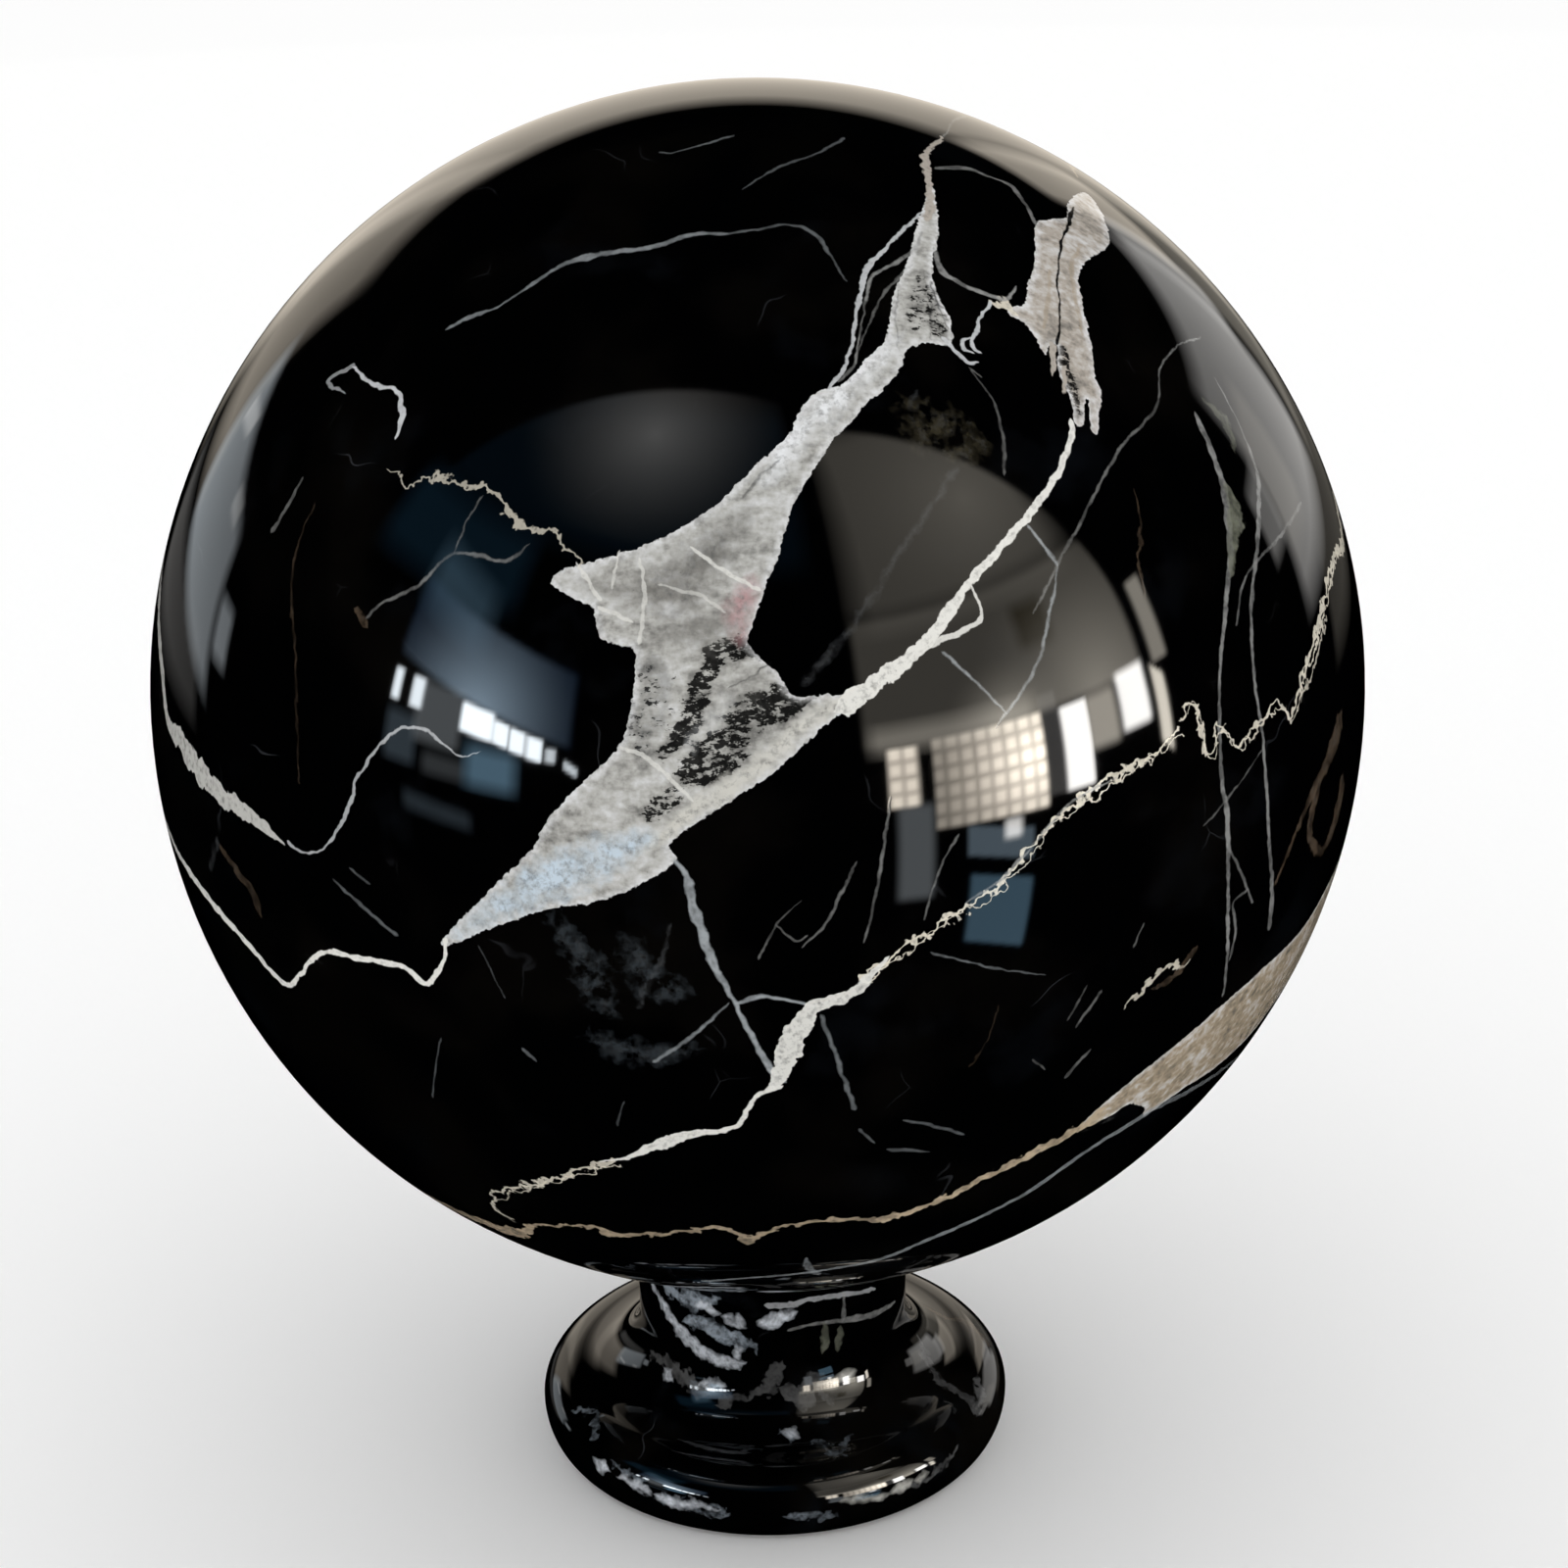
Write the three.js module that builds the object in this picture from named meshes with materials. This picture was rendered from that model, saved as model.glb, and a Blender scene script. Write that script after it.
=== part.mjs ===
// A polished marble sphere resting in its turned marble stand.
// Millimetres, +Z up. The origin is the centre of the stand's flat underside.
import * as THREE from "three";

// Driving dimensions
const sphereRadius = 100;
const sphereBottomHeight = 41.5; // from the underside of the stand up to the sphere's lowest point
const footRadius = 42; // widest radius of the stand, at the middle of the foot's rounded rim
const neckRadius = 24; // straight neck that carries the sphere
const seatRadius = 21; // mouth of the dish that the sphere rests in

// Roundings of the stand's turned profile
const lowerRimHeight = 7; // from the underside up to the widest line of the foot
const lowerRimDepth = 4.5;
const upperRimHeight = 6; // from the widest line up to the top of the foot
const upperRimDepth = 7;
const waistRadius = 11; // hollow between the neck and the foot
const lipRadius = 1.5; // outer edge of the neck's top

const seatGap = 0.3; // clearance between the sphere and its dish
const turnSegments = 72; // round the axis, the same for both pieces so that their facets line up
const sphereRings = 36;
const arcStep = Math.PI / 12; // one profile point every 15 degrees of rounding
const fewestArcSteps = 3;

const sphereCentreHeight = sphereBottomHeight + sphereRadius;

const sphereMarble = new THREE.MeshStandardMaterial({
  name: "sphere_marble",
  color: new THREE.Color(0.012, 0.012, 0.013),
  roughness: 0.05,
  metalness: 0,
});

const standMarble = new THREE.MeshStandardMaterial({
  name: "stand_marble",
  color: new THREE.Color(0.014, 0.014, 0.016),
  roughness: 0.08,
  metalness: 0,
});

// Profile points of an elliptical arc, both ends included.
// Angles are measured from the outward direction, positive upwards.
function arc(centreR, centreZ, radiusR, radiusZ, fromAngle, toAngle) {
  const steps = Math.max(fewestArcSteps, Math.round(Math.abs(toAngle - fromAngle) / arcStep));
  const points = [];
  for (let i = 0; i <= steps; i += 1) {
    const angle = fromAngle + ((toAngle - fromAngle) * i) / steps;
    const r = centreR + radiusR * Math.cos(angle);
    const z = centreZ + radiusZ * Math.sin(angle);
    points.push(new THREE.Vector2(r, z));
  }
  return points;
}

function makeSphere() {
  const geometry = new THREE.SphereGeometry(sphereRadius, turnSegments, sphereRings);
  geometry.rotateX(Math.PI / 2);
  const mesh = new THREE.Mesh(geometry, sphereMarble);
  mesh.name = "sphere";
  mesh.position.z = sphereCentreHeight;
  return mesh;
}

// The profile runs from the centre of the underside round the outside to the bottom of the dish.
function makeStand() {
  const up = Math.PI / 2;
  const inward = -Math.PI;
  const footTop = lowerRimHeight + upperRimHeight;
  const lowerRimR = footRadius - lowerRimDepth;
  const upperRimR = footRadius - upperRimDepth;
  const waistR = neckRadius + waistRadius;
  const waistZ = footTop + waistRadius;
  const dishRadius = sphereRadius + seatGap;
  const mouthAngle = -Math.acos(seatRadius / dishRadius);
  const neckTop = sphereCentreHeight + dishRadius * Math.sin(mouthAngle);

  const centre = new THREE.Vector2(0, 0);
  const lowerRim = arc(lowerRimR, lowerRimHeight, lowerRimDepth, lowerRimHeight, -up, 0);
  const upperRim = arc(upperRimR, lowerRimHeight, upperRimDepth, upperRimHeight, 0, up);
  const waist = arc(waistR, waistZ, waistRadius, waistRadius, -up, inward);
  const lip = arc(neckRadius - lipRadius, neckTop - lipRadius, lipRadius, lipRadius, 0, up);
  const dish = arc(0, sphereCentreHeight, dishRadius, dishRadius, mouthAngle, -up);
  const outline = [centre, ...lowerRim, ...upperRim.slice(1), ...waist.slice(1), ...lip, ...dish];

  const geometry = new THREE.LatheGeometry(outline, turnSegments);
  geometry.rotateX(Math.PI / 2);
  const mesh = new THREE.Mesh(geometry, standMarble);
  mesh.name = "stand";
  return mesh;
}

const part = new THREE.Group();
part.add(makeSphere(), makeStand());

export default part;
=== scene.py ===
# %% [markdown]
# # A polished marble ball on its turned stand
#
# The object is two pieces of black marble. A heavy ball, ground and polished until it mirrors the room,
# rests by its own weight in the shallow dish of a small turned stand. Nothing on it is raised or carved:
# the whole look is in the stone, black limestone shot through with white, grey and cream calcite.
# So the shapes are quick to make, and most of this lesson is about drawing veins that follow a path.
#
# The measured model is loaded first, and every size that it knows is read from it.

# %% Load the measured model
import math

import bmesh
import bpy
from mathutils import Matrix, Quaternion, Vector
from mathutils.kdtree import KDTree


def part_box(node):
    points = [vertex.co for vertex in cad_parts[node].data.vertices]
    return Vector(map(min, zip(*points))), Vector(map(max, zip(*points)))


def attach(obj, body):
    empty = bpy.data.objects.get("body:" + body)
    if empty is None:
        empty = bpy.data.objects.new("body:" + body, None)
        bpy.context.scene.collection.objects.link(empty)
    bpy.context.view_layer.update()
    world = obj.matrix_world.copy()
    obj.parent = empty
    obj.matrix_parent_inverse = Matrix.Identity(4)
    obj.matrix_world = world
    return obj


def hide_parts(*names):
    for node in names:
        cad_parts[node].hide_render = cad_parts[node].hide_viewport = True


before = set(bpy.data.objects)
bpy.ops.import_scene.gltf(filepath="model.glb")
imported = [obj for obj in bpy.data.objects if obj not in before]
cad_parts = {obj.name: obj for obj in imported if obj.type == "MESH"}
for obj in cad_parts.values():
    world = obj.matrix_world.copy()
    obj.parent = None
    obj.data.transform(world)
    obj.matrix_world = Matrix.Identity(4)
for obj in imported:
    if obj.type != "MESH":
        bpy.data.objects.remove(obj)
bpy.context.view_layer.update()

MM = 0.001
ball_low, ball_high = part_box("sphere")
stand_low, stand_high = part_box("stand")
ball_centre = (ball_low + ball_high) / 2
ball_radius = (ball_high.x - ball_low.x) / 2
foot_radius = (stand_high.x - stand_low.x) / 2
print(f"ball {2 * ball_radius / MM:.0f} mm across, centre {ball_centre.z / MM:.1f} mm up")
print(f"stand {2 * foot_radius / MM:.0f} mm across, nodes {sorted(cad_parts)}")

# %% [markdown]
# ## The camera
#
# A ball looks the same from everywhere, so the stand gives the viewpoint away: its foot shows as an
# ellipse, a little more than a third as high as it is wide, which is a camera about twenty degrees above
# level. The camera stands five and a half ball radii off, near enough to cut off a thin slice of the
# ball's far side. It is tipped by a touch over one degree, as a hand-held camera is.

# %% Camera
VIEW_ELEVATION = 20.2
VIEW_TIP = -1.2
VIEW_DISTANCE = 5.5 * ball_radius
LENS_MM = 75.4


def towards(azimuth, elevation):
    """Unit direction seen from the ball. Azimuth 0 is the front, -Y, and 90 is +X; in degrees."""
    a, e = math.radians(azimuth), math.radians(elevation)
    return Vector((math.sin(a) * math.cos(e), -math.cos(a) * math.cos(e), math.sin(e)))


camera_data = bpy.data.cameras.new("camera")
camera_data.lens = LENS_MM
camera_data.sensor_width = 36.0
camera_data.clip_start = 0.01
camera = bpy.data.objects.new("camera", camera_data)
bpy.context.collection.objects.link(camera)
camera.location = ball_centre + VIEW_DISTANCE * towards(0, VIEW_ELEVATION)
aim = ball_centre + Vector((3.9, -5.8, -15.0)) * MM
level = (aim - camera.location).to_track_quat("-Z", "Y")
camera.rotation_mode = "QUATERNION"
camera.rotation_quaternion = level @ Quaternion((0, 0, 1), math.radians(VIEW_TIP))
bpy.context.scene.camera = camera
print(f"camera {camera.location.length:.2f} m from the stand's foot")

# %% [markdown]
# ## Shader maths
#
# Every finish below is worked out by shader nodes, and a chain of Math nodes is hard to read as code.
# So one small class wraps a socket, and Python's own signs add the nodes: `1 - mask` is a Subtract node.
# Any other node comes from its one method, `node`, which takes the node's type, its settings and its
# inputs. Colours go through Mix nodes, because a Math node would turn them grey.

# %% Sockets with arithmetic


class Wire:
    """The end of a wire in a node tree. Arithmetic on it adds Math nodes and gives the new end."""

    def __init__(self, tree, socket=None):
        self.tree = tree
        self.socket = socket

    def node(self, kind, settings, inputs, output=0):
        """Adds a node: first its settings, then its inputs by name or number, and returns one output."""
        made = self.tree.nodes.new(kind)
        for name, value in settings.items():
            if name == "steps":
                set_steps(made.color_ramp, value)
            else:
                setattr(made, name, value)
        for name, value in inputs.items():
            if isinstance(value, Wire):
                self.tree.links.new(value.socket, made.inputs[name])
            else:
                made.inputs[name].default_value = value
        return Wire(self.tree, made.outputs[output]) if made.outputs else None

    def math(self, operation, first, second=0.0, clamped=False):
        settings = {"operation": operation, "use_clamp": clamped}
        return self.node("ShaderNodeMath", settings, {0: first, 1: second})

    def __add__(self, other):
        return self.math("ADD", self, other)

    def __radd__(self, other):
        return self.math("ADD", other, self)

    def __sub__(self, other):
        return self.math("SUBTRACT", self, other)

    def __rsub__(self, other):
        return self.math("SUBTRACT", other, self)

    def __mul__(self, other):
        return self.math("MULTIPLY", self, other)

    def __rmul__(self, other):
        return self.math("MULTIPLY", other, self)

    def __truediv__(self, other):
        return self.math("DIVIDE", self, other)

    def __abs__(self):
        return self.math("ABSOLUTE", self)

    def at_least(self, other):
        return self.math("MAXIMUM", self, other)

    def within_one(self):
        """The value held between 0 and 1."""
        return self.math("ADD", self, 0.0, clamped=True)

    def part(self, axis):
        """One part of a vector or colour: 0, 1 or 2."""
        return self.node("ShaderNodeSeparateXYZ", {}, {0: self}, axis)

    def mixed(self, colour, share):
        """This colour with another laid over it, by a share from 0 to 1."""
        settings = {"data_type": "RGBA", "clamp_factor": True}
        return self.node("ShaderNodeMix", settings, {0: share, 6: self, 7: colour}, 2)


# %% Ramps and paints


def set_steps(ramp, colours):
    """Puts a row of colours on a colour ramp, as even steps."""
    ramp.interpolation = "CONSTANT"
    ramp.elements.remove(ramp.elements[1])
    ramp.elements[0].color = colours[0]
    for number, colour in enumerate(colours[1:], 1):
        ramp.elements.new(number / len(colours)).color = colour


def paint(red, green, blue):
    """A colour as a paint chart gives it, 0 to 255, made linear for the shader."""
    linear = []
    for level_of_255 in (red, green, blue):
        share = level_of_255 / 255
        linear.append(share / 12.92 if share < 0.04045 else ((share + 0.055) / 1.055) ** 2.4)
    return (*linear, 1.0)


# %% [markdown]
# ## Floor and light
#
# A mirror-black ball is lit with large soft sources, because what is seen on it is mostly their
# reflections. White light from all round shows the stone's own colours. It is kept out of the
# reflections, or the black would turn grey. Around the ball stands a light tent, a round wall of cloth
# that only reflections see, and soft patches of light fall on it: broad pale ones behind give the
# bright rim, a cool group and a warm group in front leave a dark gap between them, and small bright
# panes give the window lights. One mesh with a painted glow takes the place of dozens of lamps, and its
# patches fade at their edges as light on cloth does. The floor is plain and pale, and it is left out of
# reflections too, so the ball's lower half stays black.

# %% White light and floor
SKY_GLOW = 1.05
FLOOR_RADIUS = 6.0

world = bpy.data.worlds.new("soft white sky")
bpy.context.scene.world = world
world.use_nodes = True
world.node_tree.nodes["Background"].inputs["Color"].default_value = (1.0, 1.0, 1.0, 1.0)
world.node_tree.nodes["Background"].inputs["Strength"].default_value = SKY_GLOW
world.cycles_visibility.glossy = False
bpy.context.scene.view_settings.view_transform = "Standard"


def keep(shape, name, material):
    """Turns a finished bmesh into an object at the origin, with its place in its mesh."""
    mesh = bpy.data.meshes.new(name)
    shape.to_mesh(mesh)
    shape.free()
    mesh.materials.append(material)
    thing = bpy.data.objects.new(name, mesh)
    bpy.context.collection.objects.link(thing)
    return thing


floor_paint = bpy.data.materials.new("pale floor")
floor_paint.use_nodes = True
floor_paint.node_tree.nodes["Principled BSDF"].inputs["Base Color"].default_value = (0.97, 0.97, 0.97, 1.0)
floor_paint.node_tree.nodes["Principled BSDF"].inputs["Roughness"].default_value = 1.0
floor_shape = bmesh.new()
bmesh.ops.create_circle(floor_shape, cap_ends=True, radius=FLOOR_RADIUS, segments=96)
floor = keep(floor_shape, "floor", floor_paint)
floor.visible_glossy = False
print(f"floor {2 * FLOOR_RADIUS:.0f} m across, sky glow {SKY_GLOW}")

# %% Patches of light on the tent
WHITE = (1.0, 0.98, 0.95)
WARM = (1.0, 0.93, 0.8)
SKY = (0.86, 0.94, 1.0)
COOL = (0.62, 0.82, 1.0)
BLUE = (0.25, 0.5, 1.0)
AZURE = (0.4, 0.72, 1.0)
TEAL = (0.2, 0.6, 1.0)
STRAW = (1.0, 0.9, 0.76)
LEFT_ROUND = (-14, 2, 70)
RIGHT_ROUND = (10, 0, 64)
patches = []


def patch(centre, size, glow, tint, soft=1.5, lean=0.0, lamp=None, reach=0.0, inside=None, bars=0.0):
    """Adds a patch of light. Its centre and size are in degrees, round the ball and up.

    soft is how wide its edge is, and lean how far it climbs in each degree round. Given a lamp, it
    is brightest in that direction and fades to nothing at its reach. Given a round opening, a centre
    and a radius, it shows only inside. bars crosses it with dark bars, so many degrees apart.
    """
    patches.append((centre, size, glow, tint, soft, lean, lamp, reach, inside, bars))


# Daylight behind the ball, which makes the bright rim. It is broken up, as by trees and walls outside.
patch((182, 9), (40, 30), 0.92, STRAW, soft=7)
patch((209, 11), (20, 24), 0.68, STRAW, soft=6)
patch((157, 17), (11, 17), 1.15, STRAW, soft=3)
patch((157, 1), (12, 14), 0.28, WARM, soft=3)
patch((134.5, 8.5), (27, 25), 1.05, WHITE, soft=4)
patch((150, 12), (6, 14), 0.9, WHITE, soft=2.5)
patch((117.5, 7.5), (7, 8), 0.9, WHITE, soft=2)
patch((127, 7), (11, 13), 0.3, WARM, soft=3)
patch((146, -8), (30, 8), 0.12, WARM, soft=3)
patch((-130, 2), (24, 16), 0.95, SKY, soft=3, lean=-0.25)
patch((-136.5, 8.5), (6, 2.4), 0.8, WHITE, soft=1, lean=0.4)
patch((-123.5, 7.5), (4.4, 2.6), 0.6, WHITE, soft=1)
patch((-114, -1.5), (5, 6), 1.2, SKY, soft=2)
patch((-138, -9), (32, 7), 0.14, WHITE, soft=3)
# The ceiling to the left: one pale lamp high up, and below it blue daylight from a row of panes.
patch((-36, 54), (94, 28), 0.07, TEAL, soft=5, inside=LEFT_ROUND)
patch((-32, 60), (90, 34), 1.3, WHITE, lamp=(-34, 62), reach=23, inside=LEFT_ROUND)
patch((-66, 33), (34, 12), 0.2, TEAL, soft=5)
patch((-50.5, 17.5), (35, 12), 0.3, BLUE, soft=1.5, lean=-0.2)
patch((-50.5, 17.5), (35, 12), 6.4, COOL, soft=1.5, lean=-0.2, lamp=(-51, 10), reach=22)
patch((-60, 26), (15, 9), 0.9, AZURE, soft=5, lean=-0.3)
patch((-67.3, 10.3), (1.6, 4.6), 18, SKY, soft=0.8)
patch((-62.9, 10.2), (2.4, 4.6), 18, SKY, soft=0.8)
patch((-50.3, 8.9), (6.2, 4.4), 26, SKY, soft=0.8, lean=-0.1)
for pane in range(3):
    patch((-45.6 + 3.2 * pane, 8.0 - 0.6 * pane), (2.8, 3.6), 24, SKY, soft=0.6, lean=-0.15)
patch((-36.2, 6.2), (1.8, 2.2), 12, SKY, soft=0.6)
patch((-32.5, 4.6), (2.4, 1.4), 12, SKY, soft=0.6, lean=-0.5)
patch((-58, 8), (9, 9), 1.4, SKY, soft=2)
patch((-47, 2), (9, 6), 3.0, AZURE, soft=3)
patch((-65, 3), (6, 7), 0.8, COOL, soft=2)
patch((-56, 0.5), (8, 3), 0.6, SKY, soft=2)
patch((-57, -6.5), (13, 2.4), 0.5, COOL, soft=2, lean=-0.1)
# The ceiling to the right, greyer and warmer, with barred windows under it.
patch((43, 46), (46, 34), 0.8, WARM, soft=7, inside=RIGHT_ROUND)
patch((45, 45), (44, 32), 0.9, WARM, soft=6, lamp=(52, 44), reach=26, inside=RIGHT_ROUND)
patch((45, 19), (54, 21), 0.75, WARM, soft=1.5, inside=RIGHT_ROUND)
patch((45, 19), (54, 21), 3.8, WARM, soft=1.5, lamp=(62, 8), reach=26, inside=RIGHT_ROUND)
patch((45, 19), (54, 21), 5, WARM, soft=1.5, lamp=(44, 7), reach=13, inside=RIGHT_ROUND)
patch((53, 22), (7, 7), -0.6, WHITE, soft=2.5)
patch((34, 9.5), (30, 4), 2.4, WARM, soft=3)
patch((39.7, 1), (20.4, 15), 5, STRAW, soft=1, bars=2.7)
patch((39.7, 1), (20.4, 15), 32, STRAW, soft=1, lamp=(48, 2), reach=21, bars=2.7)
patch((51.6, 3), (3.4, 16), 0.8, WHITE, soft=0.6)
patch((56.4, 1.5), (5.4, 13), 22, WHITE, soft=0.8)
patch((62, 4), (6, 8), 6, WARM, soft=1.5)
patch((69, 5), (6, 8.5), 20, WHITE, soft=1.2)
patch((75, 1.5), (2.4, 11), 12, WARM, soft=0.8, lean=-0.8)
patch((76.5, 14), (3.4, 12), 3.6, WARM, soft=1)
patch((24.2, 3), (5.4, 10), 15, STRAW, soft=1, bars=2.7)
patch((26, -10), (6, 16), 1.5, SKY, soft=1.5)
patch((43.2, -8.6), (3, 3), 12, WHITE, soft=1.2)
patch((41, -10.5), (12, 5), 1.9, COOL, soft=0.8, lean=-0.2)
patch((41.5, -22), (11.5, 11.5), 1.7, AZURE, soft=0.8, lean=-0.2)

# %% Painting the tent
TENT_STEP = 0.5
TENT_LOW = -31.0
TENT_HIGH = 77.0
BAR_DARKNESS = 0.5
BAR_SHARE = 0.3
OPENING_SOFTNESS = 1.2
tent_columns = round(360 / TENT_STEP)
tent_rows = round((TENT_HIGH - TENT_LOW) / TENT_STEP)
tent_glow = [[[0.0, 0.0, 0.0] for row in range(tent_rows + 1)] for column in range(tent_columns)]


def within_one(value):
    return min(max(value, 0.0), 1.0)


def bar_gap(distance, spacing):
    """0 on bars that stand so many degrees apart, and 1 between them."""
    off_bar = abs((distance + spacing / 2) % spacing - spacing / 2)
    return within_one(off_bar / (BAR_SHARE * spacing))


def patch_glow(azimuth, elevation, centre, size, glow, soft, lean, lamp, reach, inside, bars):
    """How strongly one patch glows in a direction."""
    turn = azimuth - centre[0]
    rise = elevation - centre[1] - lean * turn
    share = within_one((size[0] / 2 - abs(turn)) / soft + 0.5)
    share *= within_one((size[1] / 2 - abs(rise)) / soft + 0.5)
    if lamp:
        off_lamp = math.degrees(towards(azimuth, elevation).angle(towards(*lamp)))
        share *= within_one(1 - off_lamp / reach) ** 2
    if inside:
        off_middle = math.degrees(towards(azimuth, elevation).angle(towards(*inside[:2])))
        share *= within_one((inside[2] - off_middle) / OPENING_SOFTNESS + 0.5)
    if bars:
        share *= 1 - BAR_DARKNESS * (1 - bar_gap(turn, bars) * bar_gap(rise, bars))
    return share * glow


def paint_patch(centre, size, glow, tint, soft, lean, *rest):
    """Adds one patch's light to every point of the tent that it reaches."""
    half_round = (size[0] + soft) / 2
    half_up = (size[1] + soft) / 2 + abs(lean) * half_round
    first_column = math.floor((centre[0] - half_round) / TENT_STEP)
    last_column = math.ceil((centre[0] + half_round) / TENT_STEP)
    first_row = max(math.floor((centre[1] - half_up - TENT_LOW) / TENT_STEP), 0)
    last_row = min(math.ceil((centre[1] + half_up - TENT_LOW) / TENT_STEP), tent_rows)
    for column in range(first_column, last_column + 1):
        for row in range(first_row, last_row + 1):
            azimuth, elevation = column * TENT_STEP, TENT_LOW + row * TENT_STEP
            strength = patch_glow(azimuth, elevation, centre, size, glow, soft, lean, *rest)
            spot_glow = tent_glow[column % tent_columns][row]
            for part in range(3):
                spot_glow[part] += strength * tint[part]


for one_patch in patches:
    paint_patch(*one_patch)
print(f"{len(patches)} patches painted on {tent_columns} columns of {tent_rows + 1} points")

# %% The light tent
TENT_RADIUS = 1.6

tent_cloth = bpy.data.materials.new("tent cloth")
tent_cloth.use_nodes = True
tent_cloth.cycles.emission_sampling = "NONE"
tent_cloth.node_tree.nodes.clear()
start = Wire(tent_cloth.node_tree)
kept_glow = {"attribute_type": "GEOMETRY", "attribute_name": "glow"}
shine = start.node("ShaderNodeEmission", {}, {"Color": start.node("ShaderNodeAttribute", kept_glow, {})})
start.node("ShaderNodeOutputMaterial", {}, {"Surface": shine})

tent_shape = bmesh.new()
bmesh.ops.create_grid(tent_shape, x_segments=tent_columns, y_segments=tent_rows, size=0.5)
glow_values = []
for vertex in tent_shape.verts:
    column = round((vertex.co.x + 0.5) * tent_columns)
    row = round((vertex.co.y + 0.5) * tent_rows)
    vertex.co = ball_centre + TENT_RADIUS * towards(column * TENT_STEP, TENT_LOW + row * TENT_STEP)
    glow_values.extend((*(max(part, 0.0) for part in tent_glow[column % tent_columns][row]), 1.0))
tent = keep(tent_shape, "light_tent", tent_cloth)
tent.data.attributes.new("glow", "FLOAT_COLOR", "POINT").data.foreach_set("color", glow_values)
tent.visible_camera = False
tent.visible_diffuse = False
tent.visible_shadow = False
print(f"{len(patches)} patches on a tent {2 * TENT_RADIUS:.1f} m across, {len(tent.data.polygons)} faces")

# %% [markdown]
# ## Drawing on a curved surface
#
# Calcite fills old cracks, so a vein is a line whose width changes along it. Lines could be drawn on a
# flat sheet and wrapped round the ball, but a wrapped sheet has a seam and pinched poles. Here each
# vein is a short list of points instead: degrees round the ball, degrees up, and a half-width in
# millimetres. A smooth curve goes through them. Every point of the ball's mesh then stores how far it
# lies beside its nearest vein and how wide the vein is there, and the stone's shader makes a sharp,
# ragged line of those two numbers at any zoom. A broad body of calcite is a closed outline in the same
# degrees, and the mesh stores how deep inside it each point lies.

# %% Curves through points
SAMPLE_STEP = 0.6 * MM


def on_ball(round_it, up):
    """The point of the ball at these degrees, and the way out of the stone there."""
    out = towards(round_it, up)
    return ball_centre + ball_radius * out, out


def between(before, start, end, after, share):
    """A point of the Catmull-Rom curve that runs through all four, on its way from start to end."""
    point = []
    for b, s, e, a in zip(before, start, end, after):
        straight = (e - b) * share
        bend = (2 * b - 5 * s + 4 * e - a) * share ** 2
        twist = (3 * s - b - 3 * e + a) * share ** 3
        point.append(s + (straight + bend + twist) / 2)
    return point


def sampled(points, place, closed=False):
    """The curve through the points, as finely spaced points of the same kind."""
    count = len(points)
    fine = []
    for number in range(count if closed else count - 1):
        start, end = points[number], points[(number + 1) % count]
        before = points[number - 1] if closed or number else start
        after = points[(number + 2) % count] if closed or number + 2 < count else end
        length = (place(*end[:2])[0] - place(*start[:2])[0]).length
        steps = max(2, math.ceil(length / SAMPLE_STEP))
        for step in range(steps):
            fine.append(between(before, start, end, after, step / steps))
    if not closed:
        fine.append(list(points[-1]))
    return fine


# %% Finishes
# A finish: colour, then in mm how far its edge strays and how soft the edge is, and how broken it is.
FINISHES = {
    "black": (paint(3, 3, 4), 0.2, 0.2, 0.0),
    "smoke": (paint(70, 72, 74), 0.6, 1.0, 0.8),
    "haze": (paint(84, 92, 98), 1.6, 2.5, 1.0),
    "brown": (paint(88, 74, 60), 0.5, 0.3, 0.7),
    "moss": (paint(112, 114, 100), 0.5, 0.5, 0.5),
    "slate": (paint(160, 165, 168), 0.25, 0.3, 0.4),
    "grey": (paint(150, 150, 148), 0.25, 0.25, 0.6),
    "bone": (paint(178, 177, 172), 0.3, 0.2, 0.0),
    "pale": (paint(206, 204, 196), 0.5, 1.2, 0.2),
    "white": (paint(204, 206, 208), 0.35, 0.15, 0.1),
    "ivory": (paint(226, 225, 219), 0.3, 0.15, 0.0),
    "cream": (paint(224, 217, 200), 1.3, 0.15, 0.15),
    "cloud": (paint(158, 168, 178), 1.6, 1.0, 0.8),
    "dove": (paint(98, 98, 98), 1.2, 0.6, 0.6),
    "warm": (paint(176, 168, 158), 0.5, 0.2, 0.0),
    "tan": (paint(165, 150, 128), 0.3, 0.2, 0.0),
    "ochre": (paint(190, 172, 146), 1.0, 0.25, 0.45),
    "ash": (paint(118, 116, 111), 1.0, 4.0, 0.3),
    "pearl": (paint(234, 236, 238), 0.8, 3.0, 0.3),
    "rose": (paint(178, 138, 140), 0.6, 3.0, 0.0),
    "soot": (paint(26, 26, 26), 0.5, 0.3, 0.5),
    "ice": (paint(196, 211, 223), 0.8, 3.0, 0.4),
    "earth": (paint(70, 65, 50), 1.6, 2.5, 1.0),
    "frost": (paint(214, 219, 226), 0.8, 0.9, 0.5),
}
FINISH_NAMES = list(FINISHES)
CODE_LOW = 0.2
CODE_SPAN = 0.6


def code_of(finish, strength):
    """A finish's number, and after its point a strength from 0 to 1, moved clear of the whole numbers."""
    return FINISH_NAMES.index(finish) + CODE_LOW + CODE_SPAN * strength


print(f"{len(FINISHES)} finishes, the last with the code {code_of(FINISH_NAMES[-1], 1.0):.1f}")

# %% A vein
# Up to KEPT_WIDTH mm beside a vein its half-width is stored whole. Past that it fades, by FADE for each
# mm. Veins of one layer stay LAYER_GAP mm clear of each other, and none is thinner than THINNEST.
KEPT_WIDTH = 1.5
FADE = 1.5
FAR_AWAY = 9.0
LAYER_GAP = 5.5
THINNEST = 0.05


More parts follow.
